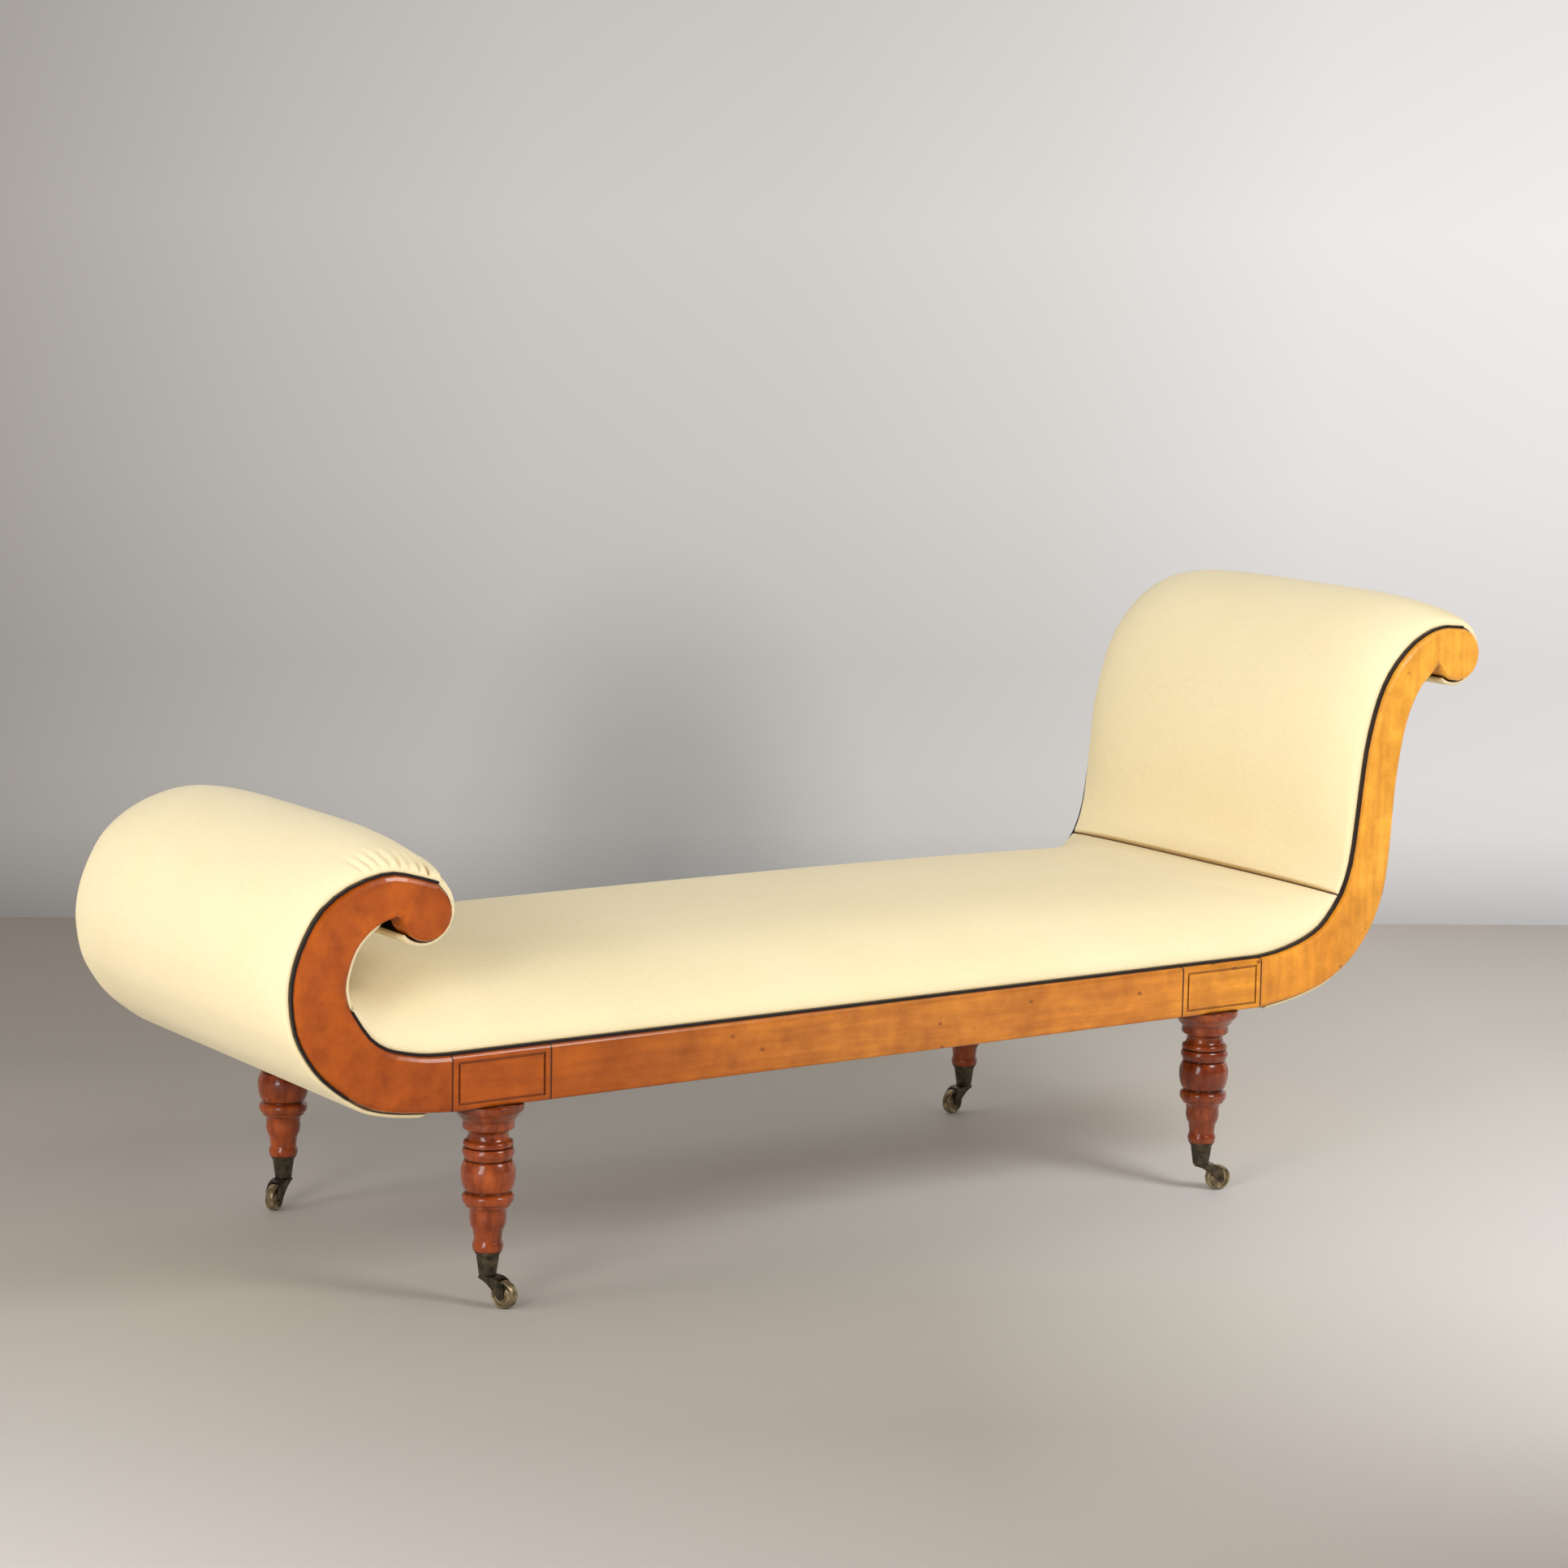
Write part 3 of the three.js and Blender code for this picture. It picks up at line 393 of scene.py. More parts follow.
# Upholstery
class Pad:
    """A pad on a path: a lower line, a swell along it and a height at each place across, -1 to 1."""

    def __init__(self, name, path, swell, rolled, dents=None):
        self.name = name
        self.normals = left_normals(path)
        self.lower = path + self.normals * PAD_LIFT
        self.lengths = lengths_along(path)
        self.swell = swell(self.lengths / self.lengths[-1])
        self.free = np.clip(self.swell / max(self.swell.max(), MM), 0, 1)
        self.ends = rolled_ends(self.lengths, *rolled)
        self.dents = dents

    def upper(self, across, detail):
        height = PAD_EDGE * edge_share(across) + self.swell * crown_share(across)
        if detail and self.dents is not None:
            height = height - self.dents(self.lengths, (1 - abs(across)) * PAD_HALF_WIDTH)
        if detail:
            height = height - np.minimum(height, SEAM_ROLL) * (1 - self.ends)
        return self.lower + self.normals * height[:, None]


class SeatPad(Pad):
    """The seat swells up from the dip between the scrolls to one long crowned line."""

    def __init__(self, name, path, crown_line):
        super().__init__(name, path, lambda along: 0 * along, (True, True))
        lower_lengths = lengths_along(self.lower)
        crown_total = lengths_along(crown_line)[-1]
        self.crown = at_lengths(crown_line, lower_lengths / lower_lengths[-1] * crown_total)
        to_end = self.lengths[-1] - self.lengths
        self.free = ramp(self.lengths, 0, 2 * SHEET_HOLD) * ramp(to_end, 0, 2 * SHEET_HOLD)

    def upper(self, across, detail):
        rim = self.lower + self.normals * PAD_EDGE * edge_share(across)
        top = rim + (self.crown - rim) * crown_share(across)
        if not detail:
            return top
        inward = top - self.lower
        thickness = np.linalg.norm(inward, axis=1)
        roll = np.minimum(thickness, SEAM_ROLL) * (1 - self.ends)
        return top - inward / np.maximum(thickness, 1e-9)[:, None] * roll[:, None]


def across_stations():
    """Places from side to side, closer together towards the sides."""
    return np.sin(math.pi / 2 * np.linspace(-1, 1, ACROSS_STATIONS))


def crown_share(across):
    """How much of the swell stands at a place across: flat in the middle, falling to the sides."""
    return np.maximum(0, 1 - np.abs(across) ** CROWN_FLATNESS) ** CROWN_FALL


def edge_share(across):
    """How much of the pad's edge thickness stands at a place across it: a quarter round at each side."""
    return quarter_round((1 - np.abs(across)) * PAD_HALF_WIDTH / PAD_EDGE)


def rolled_ends(lengths, roll_start, roll_end):
    """1 along a path, falling off as a quarter round at the ends that are rolled into a seam."""
    share = np.ones(len(lengths))
    if roll_start:
        share = np.minimum(share, quarter_round(lengths / SEAM_ROLL))
    if roll_end:
        share = np.minimum(share, quarter_round((lengths[-1] - lengths) / SEAM_ROLL))
    return share


def surface(pad, stations, detail):
    """The upper side of a pad: rows of points, one row for each place across."""
    rows = []
    for across in stations:
        upper = pad.upper(across, detail)
        y = np.full(len(upper), MIDDLE_Y + across * PAD_HALF_WIDTH)
        rows.append(np.column_stack([upper[:, 0], y, upper[:, 1]]))
    return np.array(rows)


def spline_weights(places, count):
    """Rows of weights that turn evenly spaced values into smooth ones at places counted in steps."""
    weights = np.zeros((len(places), count))
    for row, place in enumerate(places):
        first = int(min(max(math.floor(place), 0), count - 1))
        t = place - first
        parts = ((1 - t) ** 3, 3 * t**3 - 6 * t**2 + 4, -3 * t**3 + 3 * t**2 + 3 * t + 1, t**3)
        for offset, part in enumerate(parts):
            weights[row, min(max(first + offset - 1, 0), count - 1)] += part / 6
    return weights


def sheet_object(pad, pressure, stiffness):
    """A coarse cloth over a pad's upper side, held where it is nailed or seamed."""
    stations = np.linspace(-1, 1, SHEET_STATIONS)
    columns = max(int(pad.lengths[-1] / SHEET_STEP), 4)
    wanted = np.linspace(0, pad.lengths[-1], columns)
    fine = surface(pad, stations, False)
    grid = np.array([[np.interp(wanted, pad.lengths, row[:, k]) for k in range(3)] for row in fine])
    grid = grid.transpose(0, 2, 1)
    free = np.interp(wanted, pad.lengths, pad.free)
    verts = [tuple(point) for row in grid for point in row]
    faces = []
    for row in range(SHEET_STATIONS - 1):
        for k in range(columns - 1):
            a = row * columns + k
            faces.append((a, a + 1, a + columns + 1, a + columns))
    mesh = bpy.data.meshes.new(pad.name + "_sheet")
    mesh.from_pydata(verts, [], faces)
    obj = bpy.data.objects.new(pad.name + "_sheet", mesh)
    bpy.context.scene.collection.objects.link(obj)
    held = obj.vertex_groups.new(name="held")
    for row, across in enumerate(stations):
        side = ramp((1 - abs(across)) * PAD_HALF_WIDTH, 0, SHEET_HOLD)
        for k in range(columns):
            border = row in (0, SHEET_STATIONS - 1) or k in (0, columns - 1)
            held.add([row * columns + k], 1.0 if border else float(1 - side * free[k]), "REPLACE")
    cloth = obj.modifiers.new("cloth", "CLOTH")
    settings = cloth.settings
    settings.quality = SHEET_QUALITY
    settings.mass = SHEET_MASS
    settings.tension_stiffness = stiffness
    settings.compression_stiffness = stiffness
    settings.shear_stiffness = stiffness / 2
    settings.bending_stiffness = SHEET_BENDING
    settings.use_pressure = True
    settings.uniform_pressure_force = pressure
    settings.vertex_group_mass = "held"
    settings.effector_weights.gravity = 0
    cloth.point_cache.frame_start = 1
    cloth.point_cache.frame_end = SHEET_FRAMES
    return obj, grid


def pressed_moves(pressed):
    """How far each pad's cloth moves when it is pressed outwards, as a coarse grid for each pad."""
    sheets = {pad.name: sheet_object(pad, *feel) for pad, feel in pressed}
    scene = bpy.context.scene
    for number in range(1, SHEET_FRAMES + 1):
        scene.frame_set(number)
    shapes = bpy.context.evaluated_depsgraph_get()
    moves = {}
    for name, (obj, grid) in sheets.items():
        verts = obj.evaluated_get(shapes).data.vertices
        flat = np.empty(len(verts) * 3)
        verts.foreach_get("co", flat)
        move = flat.reshape(grid.shape) - grid
        size = np.linalg.norm(move, axis=2)
        moves[name] = move * np.minimum(1, SHEET_CAP / np.maximum(size, 1e-9))[:, :, None]
    for obj, _ in sheets.values():
        mesh = obj.data
        bpy.data.objects.remove(obj)
        bpy.data.meshes.remove(mesh)
    scene.frame_set(1)
    return moves


def upholster(pad, moves):
    """A closed mesh between a pad's lower line and its upper side, with the pressed cloth's moves added."""
    stations = across_stations()
    top = surface(pad, stations, True)
    if moves is not None:
        count = moves.shape[1]
        across = spline_weights((stations + 1) / 2 * (SHEET_STATIONS - 1), SHEET_STATIONS)
        along = spline_weights(pad.lengths / pad.lengths[-1] * (count - 1), count)
        top = top + np.einsum("ra,ack,lc->rlk", across, moves, along)
    count = len(pad.lower)
    verts = []
    for row, across in enumerate(stations):
        y = MIDDLE_Y + across * PAD_HALF_WIDTH
        verts += [(p[0], y, p[1]) for p in pad.lower]
        verts += [tuple(p) for p in top[row]]
    faces = []

    def at(row, side, k):
        return (row * 2 + side) * count + k

    for row in range(len(stations) - 1):
        for k in range(count - 1):
            faces.append((at(row, 0, k), at(row + 1, 0, k), at(row + 1, 0, k + 1), at(row, 0, k + 1)))
            faces.append((at(row, 1, k), at(row, 1, k + 1), at(row + 1, 1, k + 1), at(row + 1, 1, k)))
        for k in (0, count - 1):
            faces.append((at(row, 0, k), at(row, 1, k), at(row + 1, 1, k), at(row + 1, 0, k)))
    return tidy_mesh(pad.name, verts, faces)


def pleats(lengths, from_side):
    """Gathers that fan over the volute: grooves from the edge, shallower away from it."""
    start = FOOT_PAD_SHARES[0]
    span = FOOT_PAD_SHARES[1] - start
    depth = np.zeros(len(lengths))
    for place, strength, lean in PLEATS:
        spread = PLEAT_WIDTH * (1 + from_side / PLEAT_REACH)
        centre = (place - start) / span * lengths[-1] + lean * from_side
        depth += strength * np.exp(-(((lengths - centre) / spread) ** 2))
    fading = 1 - ramp(from_side, PLEAT_REACH * PLEAT_FULL_SHARE, PLEAT_REACH)
    return depth * fading * ramp(from_side, 0, PLEAT_START) * PLEAT_DEPTH


def head_pad():
    """The head's cushion, which fades away over the knob."""
    start = SEAT_HEAD_SEAM + SEAM_GAP_SHARE
    fine = ((start, start + HEAD_SEAM_FINE), (HEAD_PAD_END - END_FINE, 1))
    path = stretch(head_front, start, HEAD_PAD_END, fine)
    full, fall, flat = HEAD_SWELL_SHARES

    def swell(along):
        rise = SEAM_CROWN_SHARE + (1 - SEAM_CROWN_SHARE) * ramp(along, 0, full)
        return HEAD_CROWN * (rise - ramp(along, fall, flat))

    return Pad("head_cushion", path, swell, (True, True))


def foot_roll_pad():
    """The foot roll's cushion, with its gathers."""
    path = stretch(foot_outer, *FOOT_PAD_SHARES, fine=(GATHERS_FINE, (FOOT_PAD_SHARES[1] - END_FINE, 1)))
    rise, full, fall, flat = FOOT_SWELL_SHARES

    def swell(along):
        return FOOT_CROWN * (ramp(along, rise, full) - ramp(along, fall, flat))

    return Pad("foot_roll_cushion", path, swell, (True, True), pleats)


def foot_inside_pad():
    """The lining inside the foot scroll."""
    end = SEAT_FOOT_SEAM - 2 * SEAM_GAP_SHARE
    path = stretch(foot_inner, FOOT_INSIDE_START, end, fine=((end - LINING_SEAM_FINE, end),))

    def swell(along):
        return FOOT_INSIDE_CROWN * ramp(along, 0, FOOT_INSIDE_SWELL)

    return Pad("foot_lining_cushion", path, swell, (True, True))


def seat_pad():
    """The long cushion between the seams at the foot and the head."""
    foot_fine = (SEAT_FOOT_SEAM, SEAT_FOOT_SEAM + SEAT_SEAM_FINE)
    foot_part = stretch(foot_inner, SEAT_FOOT_SEAM, 1, fine=(foot_fine,))
    rail_x = np.linspace(FOOT_JOINT_X, HEAD_JOINT_X, 100)
    rail_part = np.column_stack([rail_x, np.full(len(rail_x), RAIL_TOP)])[1:-1]
    head_part = stretch(head_front, 0, SEAT_HEAD_SEAM, fine=((SEAT_HEAD_SEAM - END_FINE, SEAT_HEAD_SEAM),))
    path = np.vstack([foot_part, rail_part, head_part])
    normals = left_normals(path)
    lower = path + normals * PAD_LIFT
    block = HEAD_JOINT_X - head_block_low.x
    along, up = SEAT_FOOT_CROWN_SHARES
    crown_line = smooth_through([
        lower[0] + normals[0] * (PAD_EDGE + FOOT_INSIDE_CROWN),
        (FOOT_JOINT_X - FOOT_LENGTH * along, RAIL_TOP + SEAT_LOFT * up),
        (FOOT_JOINT_X + block, RAIL_TOP + SEAT_LOFT),
        ((FOOT_JOINT_X + HEAD_JOINT_X) / 2, RAIL_TOP + SEAT_LOFT),
        (HEAD_JOINT_X - block, RAIL_TOP + SEAT_LOFT * SEAT_HEAD_CROWN_SHARE),
        lower[-1] + normals[-1] * (PAD_EDGE + HEAD_CROWN * SEAM_CROWN_SHARE),
    ])
    return SeatPad("seat_cushion", path, crown_line)


def back_cover():
    """The flat cloth on the back of the head."""
    path = stretch(head_back, *BACK_COVER_SHARES)
    return Pad("back_cover_cloth", path, lambda along: 0 * along, (False, False))


# Materials
WOOD_SPECULAR = 0.2
COAT_ROUGHNESS = 0.14
JOINT_HALF_WIDTH = 1.3 * MM
CLOTH_SPECULAR = 0.2
# How far the cloth's painted shade in hollows reaches
HOLLOW_SHADE_REACH = 70 * MM
WEAVE_SCALE = 380


def tone(red, green, blue):
    """A colour given as it looks on a screen, from 0 to 255, in the linear numbers of a shader."""
    parts = [c / 255 for c in (red, green, blue)]
    return tuple(c / 12.92 if c <= 0.04045 else ((c + 0.055) / 1.055) ** 2.4 for c in parts)


def new_material(name):
    material = bpy.data.materials.new(name)
    material.use_nodes = True
    tree = material.node_tree
    return material, tree, tree.nodes["Principled BSDF"]


def object_coordinates(tree, scale=(1, 1, 1)):
    place = tree.nodes.new("ShaderNodeTexCoord")
    mapping = tree.nodes.new("ShaderNodeMapping")
    mapping.inputs["Scale"].default_value = scale
    tree.links.new(place.outputs["Object"], mapping.inputs["Vector"])
    return mapping.outputs["Vector"]


def ramp_node(tree, value, stops):
    """A colour for a value, from stops that each give a place and a colour."""
    node = tree.nodes.new("ShaderNodeValToRGB")
    elements = node.color_ramp.elements
    while len(elements) < len(stops):
        elements.new(0.5)
    for element, (place, colour) in zip(elements, stops):
        element.position = place
        element.color = (*colour, 1)
    tree.links.new(value, node.inputs["Fac"])
    return node.outputs["Color"]


def spread_node(tree, value, low, high, to_low=0.0, to_high=1.0):
    """A value moved from one range to another and held inside it."""
    node = tree.nodes.new("ShaderNodeMapRange")
    for name, number in (("From Min", low), ("From Max", high), ("To Min", to_low), ("To Max", to_high)):
        node.inputs[name].default_value = number
    tree.links.new(value, node.inputs["Value"])
    return node.outputs["Result"]


def grey(value):
    return (value, value, value)


def put(tree, socket, value):
    """Feeds a socket with another socket, a colour or a number."""
    if isinstance(value, bpy.types.NodeSocket):
        tree.links.new(value, socket)
    elif isinstance(value, tuple):
        socket.default_value = (*value, 1)
    else:
        socket.default_value = value


def mix_colours(tree, factor, first, second, blend="MIX"):
    node = tree.nodes.new("ShaderNodeMix")
    node.data_type = "RGBA"
    node.blend_type = blend
    colour_a, colour_b = [s for s in node.inputs if s.type == "RGBA"]
    put(tree, node.inputs[0], factor)
    put(tree, colour_a, first)
    put(tree, colour_b, second)
    return [s for s in node.outputs if s.type == "RGBA"][0]


def bump(tree, height, strength, distance, normal=None):
    node = tree.nodes.new("ShaderNodeBump")
    node.inputs["Strength"].default_value = strength
    node.inputs["Distance"].default_value = distance
    tree.links.new(height, node.inputs["Height"])
    if normal is not None:
        tree.links.new(normal, node.inputs["Normal"])
    return node.outputs["Normal"]


def noise(tree, vector, scale, detail=4.0, roughness=0.55):
    node = tree.nodes.new("ShaderNodeTexNoise")
    node.inputs["Scale"].default_value = scale
    node.inputs["Detail"].default_value = detail
    node.inputs["Roughness"].default_value = roughness
    tree.links.new(vector, node.inputs["Vector"])
    return node.outputs["Fac"]


def in_corners(tree, reach, stops):
    """A colour by how much of the room a place sees within the reach, darker in corners and hollows:
    dirt with painted shade on the wood, painted shade on the cloth and patina on the brass.
    """
    node = tree.nodes.new("ShaderNodeAmbientOcclusion")
    node.samples = 8
    node.inputs["Distance"].default_value = reach
    return ramp_node(tree, node.outputs["AO"], stops)


def math_node(tree, operation, *values):
    """The result of an operation on sockets or numbers."""
    node = tree.nodes.new("ShaderNodeMath")
    node.operation = operation
    for socket, value in zip(node.inputs, values):
        put(tree, socket, value)
    return node.outputs["Value"]


def total_of(tree, operation, values):
    """One value from several, by an operation that takes two at a time."""
    total = values[0]
    for value in values[1:]:
        total = math_node(tree, operation, total, value)
    return total


def at_places(tree, value, places, reach):
    """1 where a value is within a reach of one of the places, else 0."""
    found = [math_node(tree, "COMPARE", value, place, reach) for place in places]
    return total_of(tree, "ADD", found)


def wood_material(name, tones, grain, figure, fleck, dirt_and_shade, corner_dirt_and_shade, polish, joints=()):
    """Polished wood, with its tones by x in metres.

    The grain scales the streaks, the figure says how strong streaks, mottling and clouds are, and the
    corner darkening how near another surface it begins and how light the wood stays. That darkening is
    dirt of old polish and painted shade, in the same dark colour that marks the joints. The polish is
    the roughness of the wood and the weight of the coat over it.
    """
    material, tree, shader = new_material(name)
    plain = object_coordinates(tree)
    split = tree.nodes.new("ShaderNodeSeparateXYZ")
    tree.links.new(plain, split.inputs["Vector"])
    place = spread_node(tree, split.outputs["X"], -1, 1)
    colour = ramp_node(tree, place, [((x + 1) / 2, t) for x, t in tones])
    streaks = noise(tree, object_coordinates(tree, grain), 3.2, 8, 0.62)
    mottle = noise(tree, plain, 34, 6, 0.62)
    cloud = noise(tree, plain, 9, 3)
    for pattern, amount in zip((streaks, mottle, cloud), figure):
        shade = ramp_node(tree, pattern, (
            (0.3, (1 - amount, 1 - amount * 1.25, 1 - amount * 1.5)),
            (0.7, (1 + amount * 0.6, 1 + amount * 0.8, 1 + amount * 0.9)),
        ))
        colour = mix_colours(tree, 1.0, colour, shade, "MULTIPLY")
    cells = tree.nodes.new("ShaderNodeTexVoronoi")
    cells.inputs["Scale"].default_value = 26
    tree.links.new(object_coordinates(tree, (0.7, 1, 1)), cells.inputs["Vector"])
    marks = ramp_node(tree, cells.outputs["Distance"], (
        (0.0, grey(0.8)), (0.045, grey(0.55)), (0.09, grey(0)),
    ))
    colour = mix_colours(tree, marks, colour, fleck)
    if joints:
        at_joints = at_places(tree, split.outputs["X"], joints, JOINT_HALF_WIDTH)
        colour = mix_colours(tree, at_joints, colour, dirt_and_shade)
    # Dirt of old polish and painted shade: darker where a place sees little of the room, in corners,
    # grooves and under other parts
    colour = mix_colours(tree, in_corners(tree, *corner_dirt_and_shade), dirt_and_shade, colour)
    tree.links.new(colour, shader.inputs["Base Color"])
    pores = noise(tree, object_coordinates(tree, tuple(g * 5 for g in grain)), 6, 2)
    roughness, coat = polish
    worn = spread_node(tree, cloud, 0.3, 0.7, roughness * 0.85, roughness * 1.25)
    tree.links.new(worn, shader.inputs["Roughness"])
    shader.inputs["Specular IOR Level"].default_value = WOOD_SPECULAR
    shader.inputs["Coat Weight"].default_value = coat
    shader.inputs["Coat Roughness"].default_value = COAT_ROUGHNESS
    fine = bump(tree, pores, 0.15, 0.15 * MM)
    tree.links.new(bump(tree, cloud, 0.15, 1.2 * MM, fine), shader.inputs["Normal"])
    return material


def cloth_material():
    """Pale primrose cloth in a fine plain weave."""
    material, tree, shader = new_material("primrose_cloth")
    plain = object_coordinates(tree)
    slubs = noise(tree, object_coordinates(tree, (30, 260, 260)), 2.5, 3)
    cross = noise(tree, object_coordinates(tree, (260, 30, 60)), 2.5, 3)
    cloud = noise(tree, plain, 6, 3)
    colour = ramp_node(tree, cloud, ((0.3, tone(239, 221, 176)), (0.7, tone(242, 225, 182))))
    for threads in (slubs, cross):
        thread = ramp_node(tree, threads, ((0.35, grey(0.975)), (0.65, grey(1.01))))
        colour = mix_colours(tree, 1.0, colour, thread, "MULTIPLY")
    # Painted shade in the cloth's hollows, seams and creases, tinted warm like light thrown back from the
    # wood
    painted_hollow_shade = in_corners(tree, HOLLOW_SHADE_REACH, (
        (0.1, (0.3, 0.17, 0.06)), (0.42, (0.68, 0.54, 0.32)), (0.75, grey(1)),
    ))
    colour = mix_colours(tree, 1.0, colour, painted_hollow_shade, "MULTIPLY")
    tree.links.new(colour, shader.inputs["Base Color"])
    weave = plain_weave(tree, plain)
    fine = bump(tree, weave, 0.25, 0.2 * MM)
    tree.links.new(bump(tree, cloud, 0.15, 2 * MM, fine), shader.inputs["Normal"])
    shader.inputs["Roughness"].default_value = 0.88
    shader.inputs["Sheen Weight"].default_value = 0.15
    shader.inputs["Sheen Roughness"].default_value = 0.5
    shader.inputs["Specular IOR Level"].default_value = CLOTH_SPECULAR
    return material


def plain_weave(tree, vector):
    """Threads along all three directions, so that the weave shows on every side."""
    threads = []
    for direction in ("X", "Y", "Z"):
        wave = tree.nodes.new("ShaderNodeTexWave")
        wave.bands_direction = direction
        wave.inputs["Scale"].default_value = WEAVE_SCALE
        wave.inputs["Distortion"].default_value = 0.6
        wave.inputs["Detail Scale"].default_value = 2
        tree.links.new(vector, wave.inputs["Vector"])
        threads.append(wave.outputs["Fac"])
    return total_of(tree, "ADD", threads)


def jute_material():
    """Coarse brown webbing."""
    material, tree, shader = new_material("jute_webbing")
    vector = object_coordinates(tree)
    cloud = noise(tree, vector, 60, 5)
    colour = ramp_node(tree, cloud, ((0.3, (0.2, 0.13, 0.07)), (0.7, (0.42, 0.31, 0.17))))
    tree.links.new(colour, shader.inputs["Base Color"])
    tree.links.new(bump(tree, plain_weave(tree, vector), 0.7, 0.6 * MM), shader.inputs["Normal"])
    shader.inputs["Roughness"].default_value = 0.95
    return material


def brass_material(name, bright, dull, patina, roughness):
    """Old brass: bright where it rubs, dark in between."""
    material, tree, shader = new_material(name)
    vector = object_coordinates(tree)
    cloud = noise(tree, vector, 90, 6, 0.65)
    colour = ramp_node(tree, cloud, ((0.32, patina), (0.5, dull), (0.72, bright)))
    corners = in_corners(tree, 5 * MM, ((0.3, grey(0)), (0.8, grey(1))))
    tree.links.new(mix_colours(tree, corners, patina, colour), shader.inputs["Base Color"])
    worn = spread_node(tree, cloud, 0.3, 0.7, roughness * 1.3, roughness * 0.75)
    tree.links.new(worn, shader.inputs["Roughness"])
    shader.inputs["Metallic"].default_value = 0.85
    tree.links.new(bump(tree, cloud, 0.3, 0.3 * MM), shader.inputs["Normal"])
    return material


# Dressing the frame's pieces
SHARP_ANGLE = math.radians(35)
FLAT_ANGLE = math.radians(0.5)
SOFTENED_ANGLE = math.radians(50)


def dress_node(name, material, soften):
    """Gives a CAD piece its material, smooth shading and edges that are softened by the width given."""
    obj = frame["nodes"][name]
    obj.data.materials.clear()
    obj.data.materials.append(material)
    obj.data.polygons.foreach_set("use_smooth", [True] * len(obj.data.polygons))
    obj.data.set_sharp_from_angle(angle=SHARP_ANGLE)
    if soften:
        flats = obj.modifiers.new("flats", "DECIMATE")
        flats.decimate_type = "DISSOLVE"
        flats.angle_limit = FLAT_ANGLE
        edges = obj.modifiers.new("edges", "BEVEL")
        edges.width = soften
        edges.segments = 2
        edges.limit_method = "ANGLE"
        edges.angle_limit = SOFTENED_ANGLE
    shading = obj.modifiers.new("shading", "WEIGHTED_NORMAL")
    shading.keep_sharp = not soften


def finish_piece(obj, material, body, slot, *nodes):
    """Gives a new piece its material and its body, and hides the CAD nodes that it replaces. The slot is
    not used.
    """
    obj.data.materials.clear()
    obj.data.materials.append(material)
    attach(obj, body)
    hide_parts(*nodes)


# Legs and wheels
def leg_profile(cup_top):
    """Radii and heights of a leg, from the top of its tenon down to the caster cup."""
    shoulder = RAIL_BOTTOM - TURNED_GAP
    tenon_top = shoulder + LEG_TENON_LENGTH
    points = [(radius * LEG_BULB_RADIUS, height * RAIL_BOTTOM) for radius, height in LEG_PROFILE_SHARES]
    sweep = smooth_through(points, TURNED_STEPS)
    sweep = np.minimum(sweep, (LEG_PROFILE_SHARES[0][0] * LEG_BULB_RADIUS, shoulder))
    head = [(0, tenon_top), (LEG_TENON_RADIUS, tenon_top), (LEG_TENON_RADIUS, shoulder)]
    foot = [(sweep[-1][0], cup_top + TURNED_GAP), (0, cup_top + TURNED_GAP)]
    return head + [tuple(p) for p in sweep] + foot


def wheel_profile(radius):
    """Radii and places along the axle of a wheel, as a closed line round its section."""
    half = WHEEL_WIDTH / 2
    sweep = smooth_through([(r * radius, z * half) for r, z in WHEEL_PROFILE_SHARES], TURNED_STEPS)
    sweep[:, 0] = np.minimum(sweep[:, 0], radius)
    upper = [(WHEEL_BORE, half)] + [tuple(p) for p in sweep]
    return upper + [(r, -z) for r, z in reversed(upper)] + [upper[0]]


def make_turned_pieces():
    """Fine legs and wheels in the place of the frame's."""
    joints = {joint["name"]: joint for joint in frame["record"]["behaviour"]["joints"]}
    for side in ("front", "rear"):
        for end in ("foot", "head"):
            label = side + "_" + end
            low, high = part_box(label + "_leg")
            cup_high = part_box(label + "_caster_cup")[1]
            centre = ((low.x + high.x) / 2, (low.y + high.y) / 2, 0)
            leg = turned(label + "_turned_leg", leg_profile(cup_high.z), centre, (0, 0, 1))
            finish_piece(leg, mahogany, "root", "mahogany", label + "_leg")
            spin = joints[label + "_wheel_spin"]
            place = spin["pos_m"]
            wheel = turned(label + "_turned_wheel", wheel_profile(place[2]), place, spin["axis"])
            finish_piece(wheel, worn_brass, label + "_wheel", "wheel_brass", label + "_caster_wheel")


# Studio
def make_camera():
    """The photograph's camera."""
    data = bpy.data.cameras.new("camera")
    data.sensor_width = CAMERA_SENSOR
    data.lens = CAMERA_LENS
    data.clip_end = 100
    camera = bpy.data.objects.new("camera", data)
    bpy.context.scene.collection.objects.link(camera)
    forward = Vector((
        math.sin(CAMERA_YAW) * math.cos(CAMERA_PITCH),
        math.cos(CAMERA_YAW) * math.cos(CAMERA_PITCH),
        -math.sin(CAMERA_PITCH),
    ))
    right = Vector((math.cos(CAMERA_YAW), -math.sin(CAMERA_YAW), 0))
    up = right.cross(forward)
    rolled_right = right * math.cos(CAMERA_ROLL) + up * math.sin(CAMERA_ROLL)
    rolled_up = up * math.cos(CAMERA_ROLL) - right * math.sin(CAMERA_ROLL)
    turn = Matrix((rolled_right, rolled_up, -forward)).transposed()
    place = (FOOT_LEG_X + CAMERA_OFFSET[0], rail_low.y + CAMERA_OFFSET[1], CAMERA_HEIGHT)
    camera.matrix_world = Matrix.Translation(place) @ turn.to_4x4()
    bpy.context.scene.camera = camera


def flat_piece(name, corners):
    """A flat piece of the studio, which isn't part of the couch."""
    piece = tidy_mesh(name, corners, [tuple(range(len(corners)))])
    return piece


